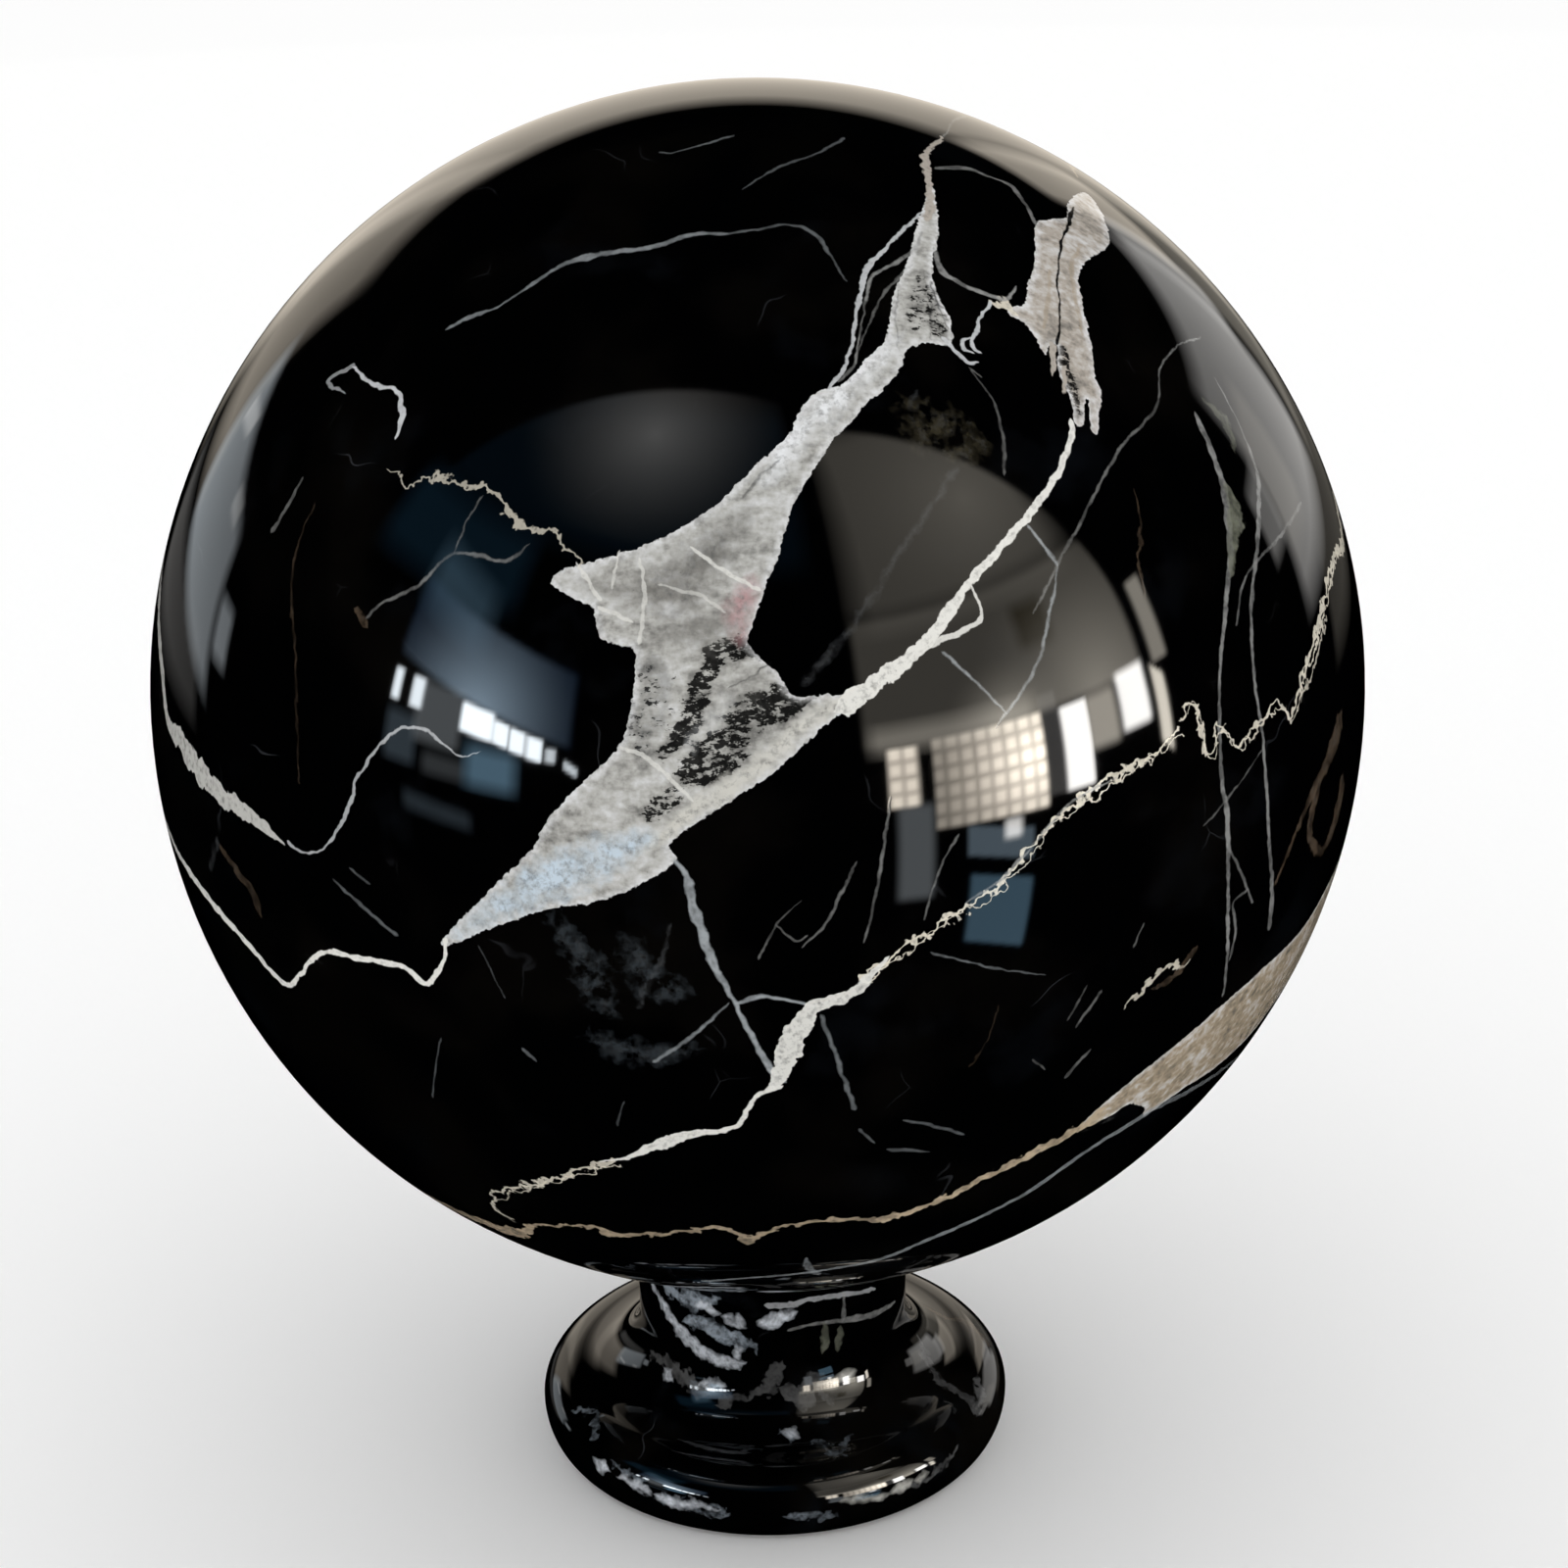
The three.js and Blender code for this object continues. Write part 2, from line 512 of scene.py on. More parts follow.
class Vein:
    """A line on a surface. Each sample has a point, the ways along and aside, a half-width and an end."""

    def __init__(self, finish, strength, points, place):
        self.code = code_of(finish, strength)
        fine = sampled(points, place)
        spots = [place(*f[:2]) for f in fine]
        self.samples = []
        last = len(fine) - 1
        for number, (spot, out) in enumerate(spots):
            ahead = spots[min(number + 1, last)][0] - spots[max(number - 1, 0)][0]
            along = ahead.normalized()
            end = (number == last) - (number == 0)
            self.samples.append((spot, along, out.cross(along), max(fine[number][2], THINNEST), end))
        self.tree = KDTree(len(self.samples))
        for number, sample in enumerate(self.samples):
            self.tree.insert(sample[0], number)
        self.tree.balance()
        self.widest = max(s[3] for s in self.samples)

    def length(self):
        return sum((a[0] - b[0]).length for a, b in zip(self.samples, self.samples[1:]))

    def clear_of(self, other):
        """True where the two veins stay far enough apart to be stored in one layer."""
        room = (LAYER_GAP + self.widest + other.widest) * MM
        return all(other.tree.find(s[0])[2] > room for s in self.samples[::4] + self.samples[-1:])


def beside(spot, sample):
    """How far a spot lies beside a sample and the half-width left there, in mm. Far off, none is left."""
    point, along, aside, half_width, end = sample
    away = spot - point
    offset = away.dot(aside) / MM
    past = max(0.0, end * away.dot(along) / MM)
    faded = FADE * max(0.0, abs(offset) - half_width - KEPT_WIDTH)
    return offset, half_width - past - faded


# %% A body of calcite


class Body:
    """A broad body of calcite: a closed outline and its finish."""

    def __init__(self, finish, outline, place):
        self.code = code_of(finish, 1.0)
        self.edge = [(p[0], p[1]) for p in sampled(outline, place, closed=True)]
        self.tree = KDTree(len(self.edge))
        for number, spot in enumerate(self.edge):
            self.tree.insert(place(*spot)[0], number)
        self.tree.balance()
        self.low = [min(p[axis] for p in self.edge) for axis in (0, 1)]
        self.high = [max(p[axis] for p in self.edge) for axis in (0, 1)]

    def holds(self, a, b):
        """True inside the outline: a line from the spot then crosses it an odd number of times."""
        if not (self.low[0] < a < self.high[0] and self.low[1] < b < self.high[1]):
            return False
        inside = False
        for (a1, b1), (a2, b2) in zip(self.edge, self.edge[1:] + self.edge[:1]):
            if (b1 > b) != (b2 > b) and a < a1 + (b - b1) * (a2 - a1) / (b2 - b1):
                inside = not inside
        return inside

    def depth(self, spot, a, b):
        """How deep inside the outline a spot lies, in mm; outside it is below 0."""
        distance = min(self.tree.find(spot)[2] / MM, FAR_AWAY)
        return distance if self.holds(a, b) or self.holds(a + 360, b) else -distance


# %% Drawing on the ball
ball_veins = []
ball_bodies = []
ball_speckles = []
ball_stains = []


def vein(finish, strength, points):
    ball_veins.append(Vein(finish, strength, points, on_ball))


def body(finish, outline):
    ball_bodies.append(Body(finish, outline, on_ball))


THICK_STRAND = 1.5
THIN_STRAND = 0.75


def suture(finish, strength, points):
    """Two strands side by side. Each layer of veins strays in its own way, so they plait."""
    vein(finish, strength, [(a, b, THICK_STRAND * half_width) for a, b, half_width in points])
    vein(finish, strength, [(a + 0.3, b - 0.4, THIN_STRAND * half_width) for a, b, half_width in points])


def speckle(share, points):
    """Crumbs of black along a line. The share, up to 1, says how thickly they lie."""
    ball_speckles.append((share, Vein("black", 1.0, points, on_ball)))


def stain(finish, strength, points):
    ball_stains.append(Vein(finish, strength, points, on_ball))


# %% [markdown]
# ## The main vein
#
# One great vein crosses the front from low on the left to the top on the right. It opens into a broad
# body twice, with a black bay between, and narrows to a neck before the top. It is drawn first, as one
# outline, because every other line starts from it or stops at it. Inside it the calcite isn't even:
# healed cracks show as fine pale lines, soft stains tint it grey, blue and rose, and the lower part still
# holds crumbs of the black stone. Noise alone would spread these evenly, so lines say where they lie, and
# noise only breaks them up.

# %% The main body and its bands
body("bone", [
    (41, 65.5), (31, 61), (24.5, 56.5), (20, 53), (17, 49), (14.5, 47.5), (10.5, 45), (6.5, 44),
    (3.5, 40.5), (0, 38), (-3.5, 35), (-9, 32), (-14, 30.3), (-17.5, 29.3), (-18.7, 28.4), (-18.4, 27.8),
    (-16, 26.7), (-14.6, 26.3), (-14.1, 25), (-13.4, 23.8), (-11.6, 23.4), (-10.5, 22.8), (-10.8, 18),
    (-12, 15), (-16.5, 10.5), (-19, 6.5), (-22.5, 2.8), (-27.5, -3), (-22, -0.3), (-17, 1.9), (-14, 2.5),
    (-9.5, 4.5), (-7, 6.5), (-7.3, 8), (-3, 11), (1, 13.5), (6, 17.5), (9, 19), (5.5, 19.5), (3, 19.5),
    (1.5, 21.5), (-0.7, 23.5), (-0.4, 25.2), (0.9, 28.3), (2.1, 30.7), (4, 35), (8, 39.7), (10.6, 41.5),
    (12.7, 43.1), (14.2, 43.8), (16.5, 45.2), (18, 46.3), (19, 47.5), (22, 48), (24.9, 47.5), (26.3, 50),
    (26.3, 52), (27, 54.5), (29, 56.6), (32, 58.5), (37, 62.5),
])
body("warm", [
    (53, 57.5), (57.5, 57.5), (62.5, 57), (67, 58), (74, 58.2), (78.5, 57.4), (74.5, 55.7), (69, 54),
    (64, 52.8), (57, 52.5), (53.5, 52), (50.5, 51), (48, 49), (46, 47), (44, 44.5), (42, 42), (41.5, 40.5),
    (39.5, 38.6), (38.2, 37.2), (37.8, 37.8), (39.2, 40.3), (38.4, 39.8), (37.4, 38.7), (36.5, 38.2),
    (36.2, 38.8), (37, 41), (37, 42.6), (37.7, 44), (39.2, 45.5), (38, 45.8), (36.7, 45), (36.8, 47),
    (36.5, 48.3), (35.6, 48.9), (35, 49.8), (36.8, 50), (38.4, 50.2), (41.9, 52.3), (44.1, 53.2),
    (48.4, 55.5),
])
body("tan", [
    (31.5, -25.5), (33, -23.5), (36.7, -20.9), (41, -18.9), (46.5, -16.7), (53, -15.2), (60.5, -14.4),
    (66, -12.8), (73, -11), (82, -8), (92, -5.5), (103, -5), (112, -7), (122, -11), (112, -10), (103, -9.5),
    (95, -11), (86, -14), (78, -18.5), (70.5, -21.7), (63, -24), (59, -25.7), (52.5, -26.6), (45.7, -26.8),
    (41, -28), (40.1, -26.5), (37, -24.8), (35, -25.6),
])
body("bone", [
    (127, 66.5), (137, 64), (147, 59.5), (155, 54), (162, 51), (170, 47), (178, 43.5), (184, 38),
    (187, 31.5), (190, 26), (196, 19.5), (202, 12), (206, 4), (199, 11), (192, 17.5), (185, 22),
    (180, 27.5), (172, 31.5), (165, 33), (163, 37), (155, 42), (150, 48.5), (146, 54.5), (138, 60.5),
])
print(f"{len(ball_bodies)} bodies of calcite")

# %% Crumbs of black stone in the main body
speckle(1, [(-4, 23.2, 0.8), (-2.5, 23.4, 1.3), (-0.5, 23.5, 1.3), (0.3, 22.8, 0.8)])
speckle(1, [
    (-3.4, 22.5, 1), (-4.5, 21, 1.1), (-5, 19.5, 1.2), (-5.5, 18, 1.2), (-6.5, 16.5, 1), (-8, 15, 0.6),
])
speckle(1, [(-2, 17.7, 1.4), (-0.5, 18.3, 1.8), (1.3, 18.8, 1.9), (2.8, 19.3, 1.6), (4.2, 19.6, 0.9)])
speckle(0.8, [(1.5, 20, 0.8), (2.7, 20.4, 0.7)])
speckle(1, [(-1.5, 16.6, 1.2), (-3, 15.8, 1.5), (-4.5, 14.8, 1.6), (-6, 13.6, 1.3)])
speckle(1, [(-2, 15, 1.2), (-3.3, 14.2, 1.5), (-4.7, 13.3, 1.2)])
speckle(0.8, [(-6.5, 12.3, 0.9), (-7.8, 11.2, 1.1), (-9, 10.2, 0.9)])
speckle(0.62, [(-8.7, 22, 1), (-9.3, 20.5, 1.5), (-9.6, 18.5, 1.7), (-9.7, 16.5, 1.3), (-9.5, 14.5, 0.7)])
speckle(0.5, [(-6.8, 21.5, 0.6), (-7.4, 19.5, 0.9), (-7.6, 17.5, 0.8)])
speckle(0.8, [(26, 52.4, 0.9), (25, 51, 1.4), (24.2, 49.2, 1.1)])
speckle(0.7, [(25, 54.5, 0.8), (23, 51.8, 1.3), (21.5, 49.8, 1)])
speckle(0.95, [(39.3, 45, 0.8), (38, 43.5, 1.3), (37.6, 41.5, 1.1), (37.3, 39.6, 0.6)])
speckle(0.7, [(160, 47, 1.4), (168, 42.5, 2), (176, 37.5, 1.6), (183, 31, 0.8)])
print(f"{len(ball_speckles)} lines of crumbs")

# %% Healed cracks and stains in the bodies
vein("ivory", 0.6, [(-12.7, 31, 0.2), (-12.9, 28, 0.3)])
vein("ivory", 0.65, [(-16.5, 29.8, 0.3), (-14, 27, 0.4)])
vein("ivory", 0.6, [(-10.7, 30.4, 0.25), (-10, 27.9, 0.35), (-10.2, 23.7, 0.3)])
vein("ivory", 0.75, [(-5.9, 31.4, 0.3), (-3.3, 29.8, 0.4), (0.3, 28, 0.35)])
vein("ivory", 0.45, [(-8.8, 28.4, 0.2), (-4.8, 27.5, 0.3), (-2.8, 26.2, 0.2)])
vein("ivory", 0.65, [(-14, 26.4, 0.35), (-10.9, 25.4, 0.25)])
vein("ivory", 0.65, [(-11.5, 15.3, 0.3), (-9.5, 14.8, 0.4), (-6.7, 12.5, 0.35), (-5.5, 11.3, 0.2)])
stain("pale", 0.95, [
    (-9.5, 7.2, 1.0), (-6, 10.2, 1.6), (-2.9, 12.2, 1.8), (0.4, 14.5, 1.8), (3.2, 16.8, 1.7),
    (6.5, 18.8, 1.5),
])
stain("rose", 0.85, [(-1.5, 24.3, 1.5), (-1.5, 26.5, 2.5), (-0.5, 28.5, 1.5)])
stain("ash", 0.95, [(-16, 28.4, 0.5), (-13, 28, 2), (-8, 28, 4.5), (-4, 31, 4), (-1, 34, 2)])
stain("ash", 0.75, [(-9, 24, 1.5), (-5, 25, 3.5), (-2, 25, 2)])
stain("pearl", 0.95, [(1, 36.8, 1.5), (6, 41.5, 2.8), (14, 46.5, 2.4), (18.5, 48.8, 1.6)])
stain("smoke", 0.35, [(-10, 23, 1), (-8.7, 21.5, 2.5), (-9, 18, 2.8), (-9.5, 14.5, 1.8)])
stain("pearl", 0.4, [(-2.5, 19.5, 1), (-4, 17.8, 1), (-6, 15.5, 0.8)])
stain("ice", 0.95, [(-26, -1.8, 1.2), (-22, 1, 2.5), (-17, 4.5, 4), (-12, 7, 3.4), (-9, 8.5, 1.5)])
stain("ash", 0.5, [(1, 21.5, 1), (-1, 20, 1.6), (-2.5, 19, 0.8)])
vein("soot", 0.9, [(-2.5, 20.3, 0.15), (-0.7, 21, 0.25), (1.2, 22.2, 0.2)])
vein("soot", 0.6, [(2.5, 38.5, 0.3), (0.5, 37, 0.4), (-1, 35.5, 0.3)])
vein("soot", 0.8, [(26.3, 54, 0.2), (25.7, 51.5, 0.35), (25.3, 49, 0.2)])
vein("soot", 0.7, [(25.2, 53, 0.2), (23.7, 50, 0.3), (22.5, 48.3, 0.2)])
vein("soot", 0.5, [(21, 53.5, 0.2), (19, 50.5, 0.3), (18, 47.5, 0.2)])
vein("black", 1.0, [
    (68, 57.5, 0.2), (64, 57, 0.45), (60, 56.2, 0.4), (56, 55.4, 0.3), (53.6, 54.7, 0.35), (49.5, 53, 0.25),
    (46.1, 51.2, 0.3), (43.8, 49.3, 0.25), (41.1, 47.1, 0.25), (39.3, 45.8, 0.35),
])
vein("tan", 0.5, [(58, 54, 0.4), (52, 52.6, 0.5), (47.5, 49.6, 0.5), (44, 46, 0.4)])
vein("tan", 0.45, [(47, 52.8, 0.3), (42.5, 50, 0.5), (39, 47.5, 0.4)])
vein("warm", 1.0, [(38.6, 45.8, 0.7), (37, 43.8, 0.5), (36.2, 43, 0.15)])
vein("warm", 1.0, [(38.5, 43.5, 0.6), (36.8, 41.8, 0.4), (36.3, 41.3, 0.1)])
vein("black", 1.0, [(37, -25.5, 0.3), (34.5, -26, 1), (32, -26.5, 0.3)])
print(f"{len(ball_veins)} lines and {len(ball_stains)} stains in the bodies")

# %% [markdown]
# ## The clean veins
#
# The next ones fill cracks that opened cleanly, so their sides are smooth and run side by side. They
# taper, fork and join the main vein. The brightest is the right-hand branch, which climbs to the band
# near the top, and a thinner ivory line leaves the main vein's lower tip for the left side. A crackle
# texture could scatter such lines, but they would not meet where these do, so each one is drawn.

# %% Veins that join the main one
vein("warm", 0.95, [
    (33, 61, 1), (37, 63.5, 0.8), (41.5, 66, 0.7), (46, 68, 0.7), (51, 69.5, 0.6), (57, 70, 0.5),
    (64.5, 70.5, 0.35),
])
vein("grey", 0.4, [(64.5, 70.5, 0.3), (85, 71, 0.3), (110, 68, 0.8)])
vein("ivory", 1.0, [
    (7, 18.5, 1.6), (10.5, 20.5, 1.4), (14, 22.5, 1.1), (17.5, 25.5, 0.9), (20.5, 28, 0.7),
    (26.4, 31.6, 0.7), (29.8, 33.6, 0.7), (32, 35.1, 0.6), (34.9, 37.5, 0.6), (35.7, 38.8, 0.6),
])
vein("ivory", 0.85, [(19.5, 27, 0.2), (20, 24.5, 0.4), (18, 23.5, 0.5), (14.5, 22.5, 0.5), (12, 21, 0.4)])
vein("white", 0.8, [
    (33.5, 62, 0.25), (26.5, 60, 0.3), (21.5, 58, 0.35), (17.5, 56, 0.6), (15.5, 53.5, 0.45),
    (14, 51.5, 0.35), (12.5, 48.5, 0.3), (10.5, 46, 0.3), (8.5, 44.5, 0.3),
])
vein("grey", 0.75, [
    (30, 59.5, 0.3), (26, 57.5, 0.4), (20.5, 56, 0.4), (17.5, 55, 0.3), (15, 51.5, 0.2), (13.5, 49, 0.2),
    (12, 46.5, 0.3), (10, 45.2, 0.2),
])
vein("grey", 0.4, [(26, 56.5, 0.2), (21, 54.5, 0.3), (17.5, 52.5, 0.3), (15, 50, 0.2), (12.5, 47.5, 0.2)])
vein("grey", 0.9, [(30, 57.5, 0.3), (29, 55, 0.6), (30.5, 53.5, 0.5), (35.5, 51, 0.4), (39, 52, 0.2)])
vein("grey", 0.6, [
    (46.5, 67, 0.5), (54, 66, 0.6), (57, 64, 0.5), (59, 62.5, 0.6), (57.5, 61, 0.5), (55, 59, 0.4),
    (53, 57.5, 0.4),
])
vein("cream", 0.85, [(36, 49.5, 0.9), (35, 50.5, 1), (33.5, 51, 0.4)])
vein("white", 0.85, [
    (33.5, 51, 0.35), (30.5, 49.5, 0.35), (28.5, 48, 0.35), (27.5, 47, 0.45), (28.2, 46.3, 0.3),
])
vein("white", 0.85, [(28, 48, 0.2), (26.8, 47.8, 0.3), (26.3, 46.9, 0.3), (27.4, 46.4, 0.2)])
vein("white", 0.85, [(24.3, 48.2, 0.5), (25.3, 46.6, 0.4), (26.2, 45.6, 0.35), (27.4, 45.6, 0.2)])
vein("ivory", 1.0, [
    (-27, -2.5, 0.5), (-27.5, -4.5, 0.4), (-29.5, -7, 0.6), (-32, -6, 0.5), (-37.5, -6.5, 0.6),
    (-41, -7, 0.5), (-45, -10.5, 0.4), (-47.5, -12.5, 0.6), (-50, -12, 0.8), (-54, -10, 0.8),
    (-61.5, -8, 1), (-65, -7.5, 1), (-80, -6, 1), (-95, -10, 0.8), (-115, -8, 0.5), (-140, -18, 0.2),
])
vein("slate", 0.95, [
    (-7, 6.5, 0.3), (-6, 5, 0.7), (-5.5, 2, 0.8), (-4, -2.5, 0.7), (-2.5, -6, 0.4), (-1.5, -8.5, 0.5),
    (0.5, -13, 0.6), (1.5, -14, 0.3),
])
vein("slate", 0.9, [(-2.5, -6, 0.3), (-1, -5.5, 0.4), (0.5, -5.5, 0.4), (4, -6.5, 0.3)])
vein("slate", 0.4, [(4.5, -7.5, 0.4), (6, -12.5, 0.4), (7.5, -17.5, 0.4)])
vein("slate", 0.35, [(8, -20, 0.3), (9.5, -22, 0.2)])
vein("slate", 0.6, [(-3, -6, 0.2), (-6.5, -9.5, 0.4), (-9.5, -12, 0.3)])
print(f"{len(ball_veins)} veins so far")

# %% Veins on the left
vein("ivory", 0.65, [
    (-115, 22, 0.5), (-100, 24, 1.2), (-85, 18, 1.5), (-72, 11, 1.1), (-67.5, 6.5, 1.2), (-64, 6, 1.9),
    (-60, 5, 2.4), (-56, 4, 2.1), (-51.5, 3.5, 1.6), (-48, 3, 1.1), (-44.5, 2, 0.2),
])
vein("white", 0.65, [
    (-44, 2.5, 0.3), (-42, 2, 0.2), (-39, 3.5, 0.3), (-36.5, 7.5, 0.4), (-35.5, 10.5, 0.3),
    (-32, 14.5, 0.3), (-29, 15, 0.3), (-25.5, 13.5, 0.2), (-23.5, 14, 0.1),
])
vein("slate", 0.55, [
    (-41.5, 48.5, 0.3), (-39, 50, 0.6), (-35.5, 51.5, 0.3), (-30, 56, 0.5), (-26.5, 57.5, 0.8),
    (-22, 58.5, 0.6), (-15, 59.5, 0.5), (-9.5, 61, 0.5), (-3.5, 61, 0.3),
])
vein("slate", 0.3, [(-5, 61, 0.3), (2, 61.5, 0.3), (7, 62, 0.3), (11.5, 60.5, 0.4), (14, 55, 0.2)])
vein("white", 0.9, [
    (-53, 43, 0.2), (-50.5, 42.5, 0.4), (-47, 42, 0.4), (-43.5, 42, 0.4), (-41, 40, 0.6), (-40.5, 38, 0.3),
])
vein("white", 0.4, [(-51.5, 40.5, 0.2), (-56, 41, 0.4), (-53, 43, 0.4)])
vein("cream", 0.55, [
    (-40, 35.5, 0.2), (-36.5, 34.5, 0.2), (-34.5, 35.5, 0.3), (-27.5, 35, 0.4), (-23.5, 33, 0.5),
    (-21.5, 32, 0.4), (-19, 32, 0.3), (-16.5, 29.5, 0.4),
])
vein("grey", 0.5, [
    (-21.5, 31, 0.2), (-23.5, 29.5, 0.3), (-29, 29.5, 0.3), (-32, 26.5, 0.3), (-35.5, 24.5, 0.3),
    (-37, 23, 0.3),
])
vein("grey", 0.4, [(-27.5, 34.5, 0.2), (-28.5, 32, 0.2), (-29, 29.5, 0.2)])
vein("brown", 0.7, [(-37, 22.5, 0.8), (-38.5, 23.5, 0.5)])
vein("brown", 0.35, [(-48, 31, 0.2), (-48, 25, 0.3), (-45, 19, 0.3), (-43, 11.5, 0.3), (-42.5, 8, 0.2)])
vein("grey", 0.35, [(-51.5, 32.5, 0.3), (-52, 30, 0.5), (-53, 27.5, 0.6)])
vein("smoke", 0.6, [(-55.5, -1, 0.7), (-58, -4.5, 0.6)])
vein("brown", 0.45, [(-55, -1.5, 0.7), (-52, -3, 1), (-50, -4.5, 1.2), (-49.5, -6, 0.7)])
vein("slate", 0.3, [(-38.5, 0.5, 0.3), (-34, -2, 0.4), (-32, -3, 0.4)])
vein("slate", 0.25, [(-36.5, 2, 0.3), (-34.5, 1, 0.3)])
vein("slate", 0.2, [(-24, -2.5, 0.2), (-22, -7, 0.2)])
vein("slate", 0.25, [(-29, -12.5, 0.2), (-30.5, -16, 0.2), (-32, -20, 0.2)])
vein("slate", 0.3, [(-21, -12, 0.4), (-20, -13, 0.4)])
vein("smoke", 0.7, [(-7.5, 1, 0.3), (-8.5, -2.5, 0.5), (-10.5, -6.5, 0.6)])
print(f"{len(ball_veins)} veins so far")

# %% [markdown]
# ## The sutures
#
# Some lines are no cracks. Where layers of limestone dissolved against each other under pressure, what
# was left behind marks the join, and it runs in tight zigzags. These get the cream and ochre finishes,
# whose edges are sharp but stray far. One thick ragged line would look like frayed rope, so a suture is
# drawn as two strands that plait. The longest climbs from the foot of the ball on the left to its right
# edge.

# %% The long suture
suture("cream", 0.75, [
    (-31, -38.5, 0.25), (-32, -37.5, 0.25), (-32, -35.5, 0.3), (-31, -34, 0.25), (-28.5, -32, 0.25),
    (-26, -30.5, 0.3), (-21.5, -28, 0.3), (-17, -25.5, 0.35), (-14.5, -24, 0.3),
])
vein("ivory", 0.95, [
    (-16, -24.5, 0.2), (-13, -23.5, 0.4), (-11, -22, 0.9), (-9, -21, 1.3), (-7, -20, 0.9), (-3, -19, 0.5),
    (-1, -15.5, 0.5), (1, -14.5, 0.6),
])
vein("ivory", 0.9, [
    (0.5, -14.5, 0.8), (1.5, -12, 1.8), (2, -10, 2), (3, -8, 1.8), (4, -6.5, 1.2), (7, -5.5, 1),
    (9, -3.5, 0.5), (10, -2.5, 0.3),
])
suture("cream", 1.0, [
    (8, -4.5, 0.35), (10, -2.5, 0.25), (12, -1.5, 0.22), (15, 0.5, 0.22), (18.5, 2, 0.25), (21, 4, 0.22),
    (23.5, 6.5, 0.25), (25, 7.5, 0.25), (30, 9.5, 0.25), (34, 10.5, 0.22), (38, 12, 0.2),
])
vein("grey", 0.7, [(16.5, 1.5, 0.2), (19.5, 3, 0.3), (22.5, 5.5, 0.3), (26.5, 8.5, 0.3), (31, 9.5, 0.2)])
suture("cream", 0.9, [
    (38, 13, 0.2), (40, 13.5, 0.2), (40.5, 10, 0.25), (41.5, 9, 0.25), (42.5, 11, 0.25), (45, 9, 0.25),
    (49, 10, 0.3), (51.5, 10.5, 0.25), (53.5, 9, 0.3), (57, 12, 0.4), (60, 13.5, 0.4), (66.5, 17, 0.4),
    (71, 18, 0.5), (77.5, 18, 0.6), (90, 24, 0.6), (104, 29, 0.5), (118, 27, 0.4), (133, 32, 0.35),
    (143, 40, 0.3), (151, 45, 0.2),
])
vein("cream", 0.6, [(55.5, 9.5, 0.3), (59, 11.5, 0.4), (64, 14.5, 0.3)])
print(f"{len(ball_veins)} veins so far")

# %% The lines near the foot
vein("ochre", 0.9, [(-140, -30, 0.3), (-110, -37, 0.8), (-80, -41, 1.2), (-55, -43, 1.4), (-37, -43, 2.4)])
vein("ochre", 0.95, [(-38, -43.5, 1.8), (-35, -43, 2.6), (-31.5, -41.5, 1.6), (-28.5, -39, 0.8)])
vein("ochre", 0.75, [
    (-28.5, -38.5, 0.7), (-24, -37, 0.5), (-19.5, -36, 0.6), (-17.5, -37, 0.9), (-11, -35.5, 0.6),
    (-6, -34, 0.6), (-4, -34.5, 0.7), (-2.5, -36.5, 1.4), (-1, -35, 0.6), (4.5, -33, 0.6), (11.5, -34, 0.9),
])
vein("ochre", 1.0, [(11.5, -34, 1), (17.5, -32, 0.9), (23, -29, 1), (29.5, -26.5, 1.2), (33.5, -24.5, 1.6)])
vein("slate", 0.65, [
    (-9.5, -49, 0.7), (-3.5, -47, 0.6), (4.5, -45.5, 0.7), (13.5, -43.5, 0.9), (18, -40.5, 0.8),
    (28, -35, 0.8), (34.5, -30, 0.8), (42.5, -27.5, 1),
])
vein("slate", 0.4, [(4, -41, 0.4), (4.5, -44, 0.9), (6, -46.5, 0.6)])
print(f"{len(ball_veins)} veins so far")

# %% [markdown]
# ## Thin lines and traces
#
# On the right a sheaf of thin grey lines runs from top to bottom, older than the rest and crossed by
# the suture. The last are hairs and traces, some no wider than a thread. Each is faint, but
# without them the black would read as painted instead of as stone.

# %% Upright lines on the right
vein("grey", 0.8, [
    (54, 36, 0.7), (53, 31, 0.8), (52, 28.5, 1), (49.5, 24, 0.7), (47.5, 21.5, 0.6), (44, 15.5, 0.4),
    (42.5, 8.5, 0.4), (43, 3, 0.6), (43.5, -3.5, 0.5), (44.5, -9, 0.5), (46, -15.5, 0.3),
])
vein("moss", 0.9, [(53, 29.5, 0.8), (52.5, 27, 2.2), (50.5, 25, 1.3), (48.5, 22.5, 0.5)])
vein("grey", 0.7, [
    (62, 38, 0.2), (60, 30, 0.5), (57, 26.5, 0.7), (51.5, 21, 0.5), (49.5, 17.5, 0.5), (48.5, 13.5, 0.4),
    (48.5, 8.5, 0.4), (49, 0, 0.5), (50.5, -6, 0.6), (51.5, -10.5, 0.7),
])
vein("grey", 0.5, [(66.5, 24.5, 0.4), (59.5, 23.5, 0.4), (51, 22, 0.3), (47.5, 18.5, 0.3)])
vein("grey", 0.35, [(40, 3, 0.2), (43, 4.5, 0.3), (48.5, 7.5, 0.2)])
vein("grey", 0.7, [(43, 0.5, 0.3), (47.5, -6.5, 0.3)])
vein("grey", 0.6, [(46.5, -5, 0.3), (44.5, -5.5, 0.3), (45.5, -8.5, 0.4), (45.5, -11.5, 0.3)])
vein("brown", 0.7, [(51, -6, 0.4), (55.5, -0.5, 0.8), (61.5, 3, 1.9), (64, 5, 2.1)])
vein("brown", 0.7, [
    (58.5, 1, 0.9), (57, -1.5, 1.3), (57.5, -4, 1.2), (61, -6.5, 1), (64.5, -4, 2), (65, -1, 1.4),
])
vein("moss", 0.5, [(57, 37, 0.5), (58.5, 34.5, 1.3), (57.5, 32, 0.8)])
